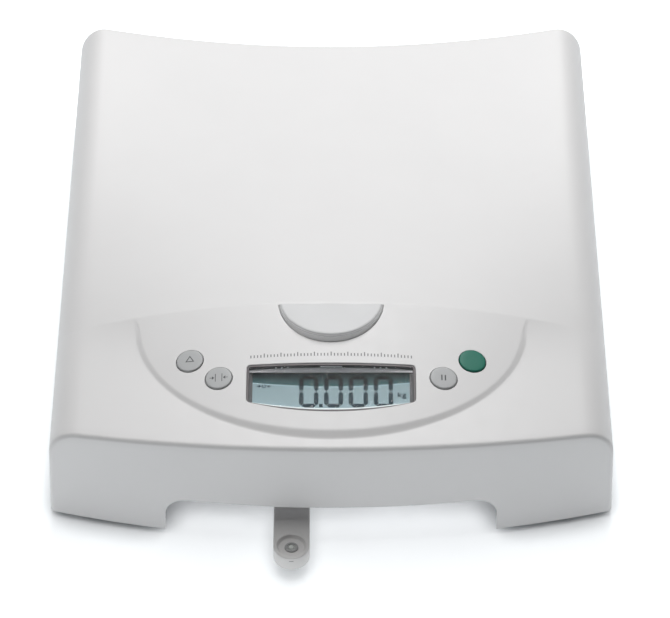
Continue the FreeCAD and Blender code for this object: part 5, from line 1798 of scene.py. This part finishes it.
# ================================================================ release button
@dataclass(frozen=True)
class ReleaseButton:
    """Half-moon push button behind the display, with its posts and return springs."""

    foot_r: float = 28.2
    top_r: float = 26.8
    centre: float = 96.3
    flat: float = 92.4
    top_z: float = 81.273
    height: float = 11.07
    flare: float = 0.6
    upright: float = 3.0
    flange: float = 1.9
    flange_t: float = 1.6
    gap: float = 0.33
    edge: float = 1.5
    flat_edge: float = 0.45
    wall: float = 2.2
    post_x: float = 13.0
    post_back: float = 81.5
    post_r: float = 2.5
    post_low: float = 57.0
    travel: float = 4.0
    spring_r: float = 3.9
    spring_wire: float = 0.4
    spring_low: float = 62.003
    spring_turns: int = 6
    spring_gap: float = 0.07

    @property
    def fall(self) -> float:
        """How much narrower the leaning side gets for each millimetre up."""
        return (self.foot_r + self.flare - self.top_r) / (self.height - self.upright)

    def moon(self, profile: Sequence[Pair], flat: float) -> Shape:
        """Half-moon turned from a profile and cut off straight at the rear."""
        disc = Shape.lathe(profile, 144).shift(0, FRONT_Y + self.centre)
        return disc.slice((0, FRONT_Y + flat, 0), (0, 1, 0))

    def cutter(self) -> Shape:
        """Hole for the button in the cover, leaning in with the button's side.

        Returns:
            What is cut out.
        """
        low, r = self.top_z - self.height + self.upright, self.foot_r + self.gap
        high = self.top_z + self.upright
        top_r = self.top_r + self.gap - self.fall * self.upright
        narrow = low + self.flare / self.fall
        return self.moon([(0, 60), (r, 60), (r, narrow), (top_r, high), (0, high)],
                         self.flat + self.gap)

    def solid(self) -> Shape:
        """The button without its hollow: leaning side, upright foot and flange.

        Returns:
            The closed shape.
        """
        top, low, e = self.top_z, self.top_z - self.height, self.edge
        side = low + self.upright + self.flare / self.fall
        rim, ledge = self.foot_r + self.flange, low + self.flange_t
        body = self.moon([(0, top), (self.top_r * 0.5, top),
                          *round_over(self.top_r, top, e, 15.0, 6),
                          (self.top_r + self.fall * e, top - e), (self.foot_r, side),
                          (self.foot_r, ledge), (rim, ledge), (rim, low), (0, low)], self.flat)
        return body.soften(self.flat_edge, 3, lambda edge: all(
            abs(v.co.y - FRONT_Y - self.flat) < 1e-3 and v.co.z > top - 1.4 for v in edge.verts))

    def build(self) -> None:
        """Makes the hollow button, its posts and its springs."""
        low, inner, under = self.top_z - self.height, self.top_r - self.wall, self.top_z - self.wall
        hollow = self.moon([(0, low - 1), (inner, low - 1), (inner, under), (0, under)],
                           self.flat - self.wall)
        skin = carve(self.solid().to_object("release_button_skin"),
                     [hollow.to_object("button_hollow")])
        adopt(skin, Paint.BUTTON, Body.RELEASE, ["release_button"])
        # The upright sides get a lighter copy of the button's colour: painted light on faces that
        # the lamps leave in shade.
        skin.data.materials.append(Paint.of(Paint.BUTTON_SIDE_PAINTED_LIGHT))
        for face in skin.data.polygons:
            face.material_index = int(abs(face.normal.z) < 0.5)
        foot, r, chamfer, head = self.post_low, self.post_r, 0.4, under + 0.3
        posts = [Shape.lathe([(0, foot), (r - chamfer, foot), (r, foot + chamfer), (r, head),
                              (0, head)], 32).shift(side * self.post_x, FRONT_Y + self.post_back)
                 for side in (-1, 1)]
        settle(Shape().add(*posts), "release_button_posts", Paint.BUTTON, Body.RELEASE)
        self.springs(under - self.spring_gap)

    def springs(self, high: float) -> None:
        """Makes the two return springs.

        Args:
            high: height of their tops at rest.
        """
        for word, side in (("left", -1), ("right", 1)):
            spring = Shape.coil(self.spring_r, self.spring_wire, self.spring_low, high,
                                self.spring_turns)
            spring.shift(side * self.post_x, FRONT_Y + self.post_back)
            node = "release_spring_" + word
            made = settle(spring, node + "_coil", Paint.SPRING, Body.BASE, [node],
                          40.0)
            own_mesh(made)


# ================================================================ spirit level
@dataclass(frozen=True)
class LevelArm:
    """Swing-out arm with a round spirit level in its end."""

    x: float = -20.0
    out: float = 25.5
    width: float = 18.4
    pivot: float = 40.0
    top_z: float = 16.0
    strap_t: float = 4.0
    strap_drop: float = 0.6
    strap_edge: float = 0.7
    boss_h: float = 8.5
    boss_edge: float = 0.5
    dish_r: float = 7.3
    dish_depth: float = 1.6
    vial_r: float = 3.4
    vial_h: float = 4.2
    liquid_h: float = 2.2
    screw_r: float = 2.55
    sink_r: float = 5.2
    sink_h: float = 1.2
    ring_mid: float = 8.6

    @property
    def tip(self) -> float:
        """Place of the boss's axis along Y."""
        return FRONT_Y - self.out + self.width / 2

    def strap(self) -> Shape:
        """Flat strap with round ends.

        Returns:
            The strap.
        """
        r, low, high = self.width / 2, self.top_z - self.strap_t, self.top_z - self.strap_drop
        shape = Shape()
        bmesh.ops.create_circle(shape.bm, cap_ends=True, radius=r, segments=72)
        shape.turn(2.5)
        reach = FRONT_Y + self.pivot - self.tip
        shape.bend(lambda p: (p.x, p.y + (reach if p.y > 0 else 0), low))
        shape.draw_out(shape.bm.faces[:], (0, 0, high - low)).tidy()
        shape.soften(self.strap_edge, 3, lambda e: all(abs(v.co.z - high) < 1e-3 for v in e.verts))
        return shape.shift(self.x, self.tip)

    def boss(self) -> Shape:
        """Round end with a raised ring, a dish and a seat for the level.

        Returns:
            The boss.
        """
        r, top, low = self.width / 2, self.top_z, self.top_z - self.boss_h
        dish, well = top - self.dish_depth, self.vial_r + 0.1
        seat = dish - self.vial_h
        outer = [(0, low), (r - 0.6, low), (r - 0.18, low + 0.18), (r, low + 0.6)]
        rim = round_over(r, top, self.boss_edge, 18.0, 6)
        inner = [(self.dish_r + 0.35, top), (self.dish_r + 0.1, top - 0.1),
                 (self.dish_r, top - 0.3), (self.dish_r - 0.7, dish + 0.15),
                 (self.dish_r - 0.95, dish), (well, dish), (well, seat), (0, seat)]
        return Shape.lathe([*outer, *rim[::-1], *inner], 96).shift(self.x, self.tip)

    def arm(self) -> bpy.types.Object:
        """The strap with a hole for its screw, cut away for the boss.

        Returns:
            The object.
        """
        seat, high = self.top_z - self.strap_t + self.sink_h, 24
        hole = Shape.lathe([(0, 0), (self.sink_r, 0), (self.sink_r, seat), (self.screw_r, seat),
                            (self.screw_r, high), (0, high)], 48)
        well = Shape.lathe([(0, 0), (self.ring_mid, 0), (self.ring_mid, high), (0, high)], 72)
        front = Shape.block((self.x - self.width, self.tip - self.width, 0),
                            (self.x + self.width, self.tip, high))
        return carve(self.strap().to_object("level_arm_skin"), [
            hole.shift(self.x, FRONT_Y + self.pivot).to_object("arm_hole"),
            front.to_object("arm_front"), well.shift(self.x, self.tip).to_object("arm_well")])

    def build(self) -> None:
        """Makes the arm, the level and its mark."""
        adopt(self.arm(), Paint.ARM, Body.LEVEL, ["level_arm"])
        settle(self.boss(), "level_boss", Paint.ARM, Body.LEVEL)
        r, dish = self.vial_r, self.top_z - self.dish_depth
        seat, floor = dish - self.vial_h, dish - self.liquid_h
        case = [(0, seat), (r, seat), (r, dish + 0.35), (r - 0.2, dish + 0.55),
                (r - 1.0, dish + 0.55), (r - 1.1, dish + 0.3), (r - 1.1, floor), (0, floor)]
        liquid = [(0, floor), (r - 1.15, floor), (r - 1.15, dish), (r - 1.6, dish + 0.1),
                  (0, dish + 0.2)]
        bubble = [(0, dish + 0.1), (0.8, dish + 0.12), (1.05, dish + 0.2), (0.8, dish + 0.28),
                  (0, dish + 0.32)]
        glass = [(0, dish + 0.2), (r - 1.12, dish + 0.2), (r - 1.12, dish + 0.42),
                 (r - 1.6, dish + 0.52), (0, dish + 0.58)]
        for name, profile, steps, offset, finish, replaced in (
                ("vial_case", case, 48, (0.0, 0.0), Paint.VIAL_RIM, ["level_vial"]),
                ("liquid", liquid, 48, (0.0, 0.0), Paint.LIQUID, []),
                ("bubble", bubble, 32, (-0.1, 0.25), Paint.BUBBLE, []),
                ("glass", glass, 48, (0.0, 0.0), Paint.VIAL, [])):
            shape = Shape.lathe(profile, steps).shift(self.x + offset[0], self.tip + offset[1])
            settle(shape, "level_" + name, finish, Body.LEVEL, replaced)
        dash = Shape.block((-1.1, 0, 13.9), (1.1, 0.12, 14.2), 0.04)
        settle(dash.shift(self.x, self.tip - self.width / 2 - 0.04), "level_index_mark", Paint.MARK,
               Body.LEVEL)


# ================================================================ cover
@dataclass
class TopCover:
    """The moulded cover with its openings."""

    form: HousingForm
    panel: PanelFrame
    display: Display
    keys: Sequence[Key]
    button: ReleaseButton
    wall: float = 2.6
    notch_half: float = 84.4
    notch_top: float = 25.3
    notch_r: float = 11.0
    tick_low: float = 18.5
    tick_pitch: float = 1.7
    tick_half: float = 0.27
    tick_count: int = 24
    tick_bow: float = 0.35

    def notch(self) -> Shape:
        """Opening in the lower front wall.

        Returns:
            What is cut out.
        """
        half, top = self.notch_half, self.notch_top
        block = Shape.block((-half, FRONT_Y - 20, -10), (half, FRONT_Y + 16, top))
        return block.soften(self.notch_r, 12, lambda e: (
            all(abs(v.co.z - top) < 1e-3 for v in e.verts)
            and abs(e.verts[0].co.x - e.verts[1].co.x) < 1e-3))

    def ticks(self) -> Shape:
        """Fine scale printed above the window.

        Returns:
            All its ticks, in the panel's frame.
        """
        outlines = []
        for k in range(-self.tick_count, self.tick_count + 1):
            tall = 2.5 if k % 5 == 0 else 1.7
            x = k * self.tick_pitch
            low = self.tick_low + self.tick_bow * (1 - (k / self.tick_count) ** 2)
            outlines.append(rectangle(x - self.tick_half, low, x + self.tick_half, low + tall))
        return self.panel.follow(Shape.plates(outlines, INK_T))

    def build(self) -> None:
        """Makes the cover and its printed scale."""
        cover = HousingBlock(self.form).build().to_object("top_cover_skin")
        inside = HousingBlock(self.form, self.wall, 1.0, 0.0, False).build()
        carve(cover, [inside.to_object("cover_inside"), self.notch().to_object("notch_cut"),
                      self.display.cutter().to_object("window_cut"),
                      *(k.cutter(self.panel).to_object("key_cut") for k in self.keys),
                      self.button.cutter().to_object("button_cut")])
        adopt(cover, Paint.COVER, Body.BASE, ["top_cover"])
        settle(self.panel.to_scale(self.ticks()), "panel_scale", Paint.LINE, Body.BASE)


# ================================================================ pieces kept from the frame
@dataclass
class FrameFinishes:
    """Finishes of the frame's own nodes.

    Attributes:
        film: finish of the liquid-crystal glass, with its painted shadow band and painted highlight
            line.
        by_word: finish of the nodes with a word in their name; the first word found counts.
    """

    film: DisplayFilm
    by_word: Sequence[tuple[str, Finish]] = (
        ("base_cover", Paint.BASE), ("battery_door_pin", Paint.SCREW), ("battery_door", Paint.BASE),
        ("battery_box", Paint.HOLDER), ("battery_cells", Paint.JACKET),
        ("battery_contacts", Paint.CONTACT), ("battery_leads", Paint.LEAD),
        ("chassis_plate", Paint.STEEL), ("load_cell_spacers", Paint.CELL),
        ("load_cell_screws", Paint.SCREW), ("load_cell_leads", Paint.RIBBON),
        ("load_cell_", Paint.CELL), ("foot_pad", Paint.RUBBER), ("foot_screw", Paint.FOOT),
        ("screw", Paint.SCREW), ("lcd_holder", Paint.HOLDER), ("board_parts", Paint.HOLDER),
        ("board", Paint.BOARD), ("ribbon", Paint.RIBBON), ("dome", Paint.SILICONE),
        ("spring", Paint.SPRING), ("release_guide", Paint.HOLDER))

    def dress(self, nodes: dict[str, bpy.types.Object]) -> None:
        """Gives each node its finish.

        Args:
            nodes: the frame's nodes by name.
        """
        for name, node in sorted(nodes.items()):
            finish = self.film if name == "lcd_glass" else next(
                (f for word, f in self.by_word if word in name), Paint.COVER)
            if not node.data.materials:
                node.data.materials.append(None)
            for place in node.material_slots:
                place.material = Paint.of(finish)
            LOG.info("%s: %s", name, finish.name)


# ================================================================ studio
@dataclass(frozen=True)
class Lamp:
    """Soft rectangular light."""

    name: str
    place: Point
    size: Pair
    power: float
    aim: Point = (0.0, 0.05, 0.05)

    def build(self) -> None:
        """Adds the light."""
        light = bpy.data.lights.new(self.name, "AREA")
        light.shape, light.size, light.size_y = "RECTANGLE", *self.size
        light.energy = self.power
        holder = bpy.data.objects.new(self.name, light)
        bpy.context.scene.collection.objects.link(holder)
        holder.location = self.place
        toward = Vector(self.aim) - Vector(self.place)
        holder.rotation_euler = toward.to_track_quat("-Z", "Y").to_euler()


@dataclass
class Studio:
    """Pale floor, soft lights and the camera, in metres.

    Attributes:
        shades: reach, brightness and range of openness of each shade on the floor.
    """

    floor_half: float = 5.0
    lamps: Sequence[Lamp] = (
        Lamp("rear_light", (0.03, 0.45, 0.8), (0.4, 0.5), 5.2),
        Lamp("overhead_light", (0.0, 0.15, 1.2), (0.8, 0.8), 5.6),
        Lamp("front_left_light", (-0.8, -0.7, 0.45), (0.5, 0.5), 0.85),
    )
    sky: float = 0.02
    air: Colour = (0.97, 0.98, 1.0)
    shades: Sequence[tuple[float, float, Pair]] = ((0.024, 0.71, (0.28, 0.82)),
                                                   (0.055, 1.0, (0.06, 0.26)))
    lens: float = 181.5
    eye: Point = (0.0, -1.33559, 1.2626)
    tilt: float = 47.03
    shift_x: float = 0.00578

    def paper(self) -> bpy.types.Material:
        """Pale paper that glows as a painted light, with a painted shadow where its glow fades
        close to what stands on it.

        Returns:
            The material.
        """
        graph = Graph("floor_paper_painted_glow")
        patches = graph.noise(graph.place(), scale=3.0, detail=3.0, rough=0.5)
        # Painted shadow: ambient occlusion dims the floor's glow near what stands on it.
        painted_glow = []
        for reach, bright, limits in self.shades:
            open_air = graph.add("AmbientOcclusion", samples=16, distance=reach).outputs["AO"]
            painted_glow.append(graph.span(open_air, 0.0, bright, limits))
        graph.surface(
            base_color=graph.ramp(patches, [(0.3, (0.85, 0.89, 0.91)),
                                            (0.7, (0.865, 0.905, 0.925))]),
            roughness=graph.span(patches, 0.7, 0.8), specular_ior_level=0.2,
            emission_color=(0.97, 0.985, 1.0, 1.0), emission_strength=graph.math("MULTIPLY", *painted_glow))
        return graph.material

    def floor(self) -> None:
        """Adds the floor."""
        shape = Shape()
        bmesh.ops.create_grid(shape.bm, x_segments=4, y_segments=4, size=self.floor_half / MM)
        made = shape.to_object("floor")
        made.data.materials.append(self.paper())

    def build(self) -> None:
        """Adds everything that isn't part of the scale."""
        self.floor()
        for lamp in self.lamps:
            lamp.build()
        scene, world = bpy.context.scene, bpy.data.worlds.new("studio_air")
        scene.world = world
        world.use_nodes = True
        back = world.node_tree.nodes["Background"]
        back.inputs["Color"].default_value = (*self.air, 1.0)
        back.inputs["Strength"].default_value = self.sky
        scene.view_settings.view_transform = "Standard"
        data = bpy.data.cameras.new("studio_camera")
        data.lens, data.shift_x = self.lens, self.shift_x
        camera = bpy.data.objects.new("studio_camera", data)
        scene.collection.objects.link(camera)
        camera.location = self.eye
        camera.rotation_euler = (math.radians(self.tilt), 0.0, 0.0)
        scene.camera = camera


def main() -> None:
    """Builds the scale's looks on its frame."""
    logging.basicConfig(level=logging.INFO, format="%(message)s")
    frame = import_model()
    form = HousingForm()
    panel = PanelFrame(form)
    display = Display(panel)
    keys = [
        Key("memory_key", Body.MEMORY, -72.0, 60.4, Mark.TRIANGLE, Paint.KEY, Slot.KEY),
        Key("range_key", Body.RANGE, -57.0, 48.0, Mark.LIMITS, Paint.KEY, Slot.KEY),
        Key("hold_key", Body.HOLD, 57.0, 48.0, Mark.PAUSE, Paint.KEY, Slot.KEY),
        Key("power_key", Body.POWER, 72.0, 60.4, Mark.NONE, Paint.POWER_KEY, Slot.POWER_KEY),
    ]
    button = ReleaseButton()
    TopCover(form, panel, display, keys, button).build()
    display.build()
    for key in keys:
        key.build(panel)
    button.build()
    LevelArm().build()
    FrameFinishes(display.film()).dress(frame["nodes"])
    Studio().build()


if __name__ == "__main__":
    main()
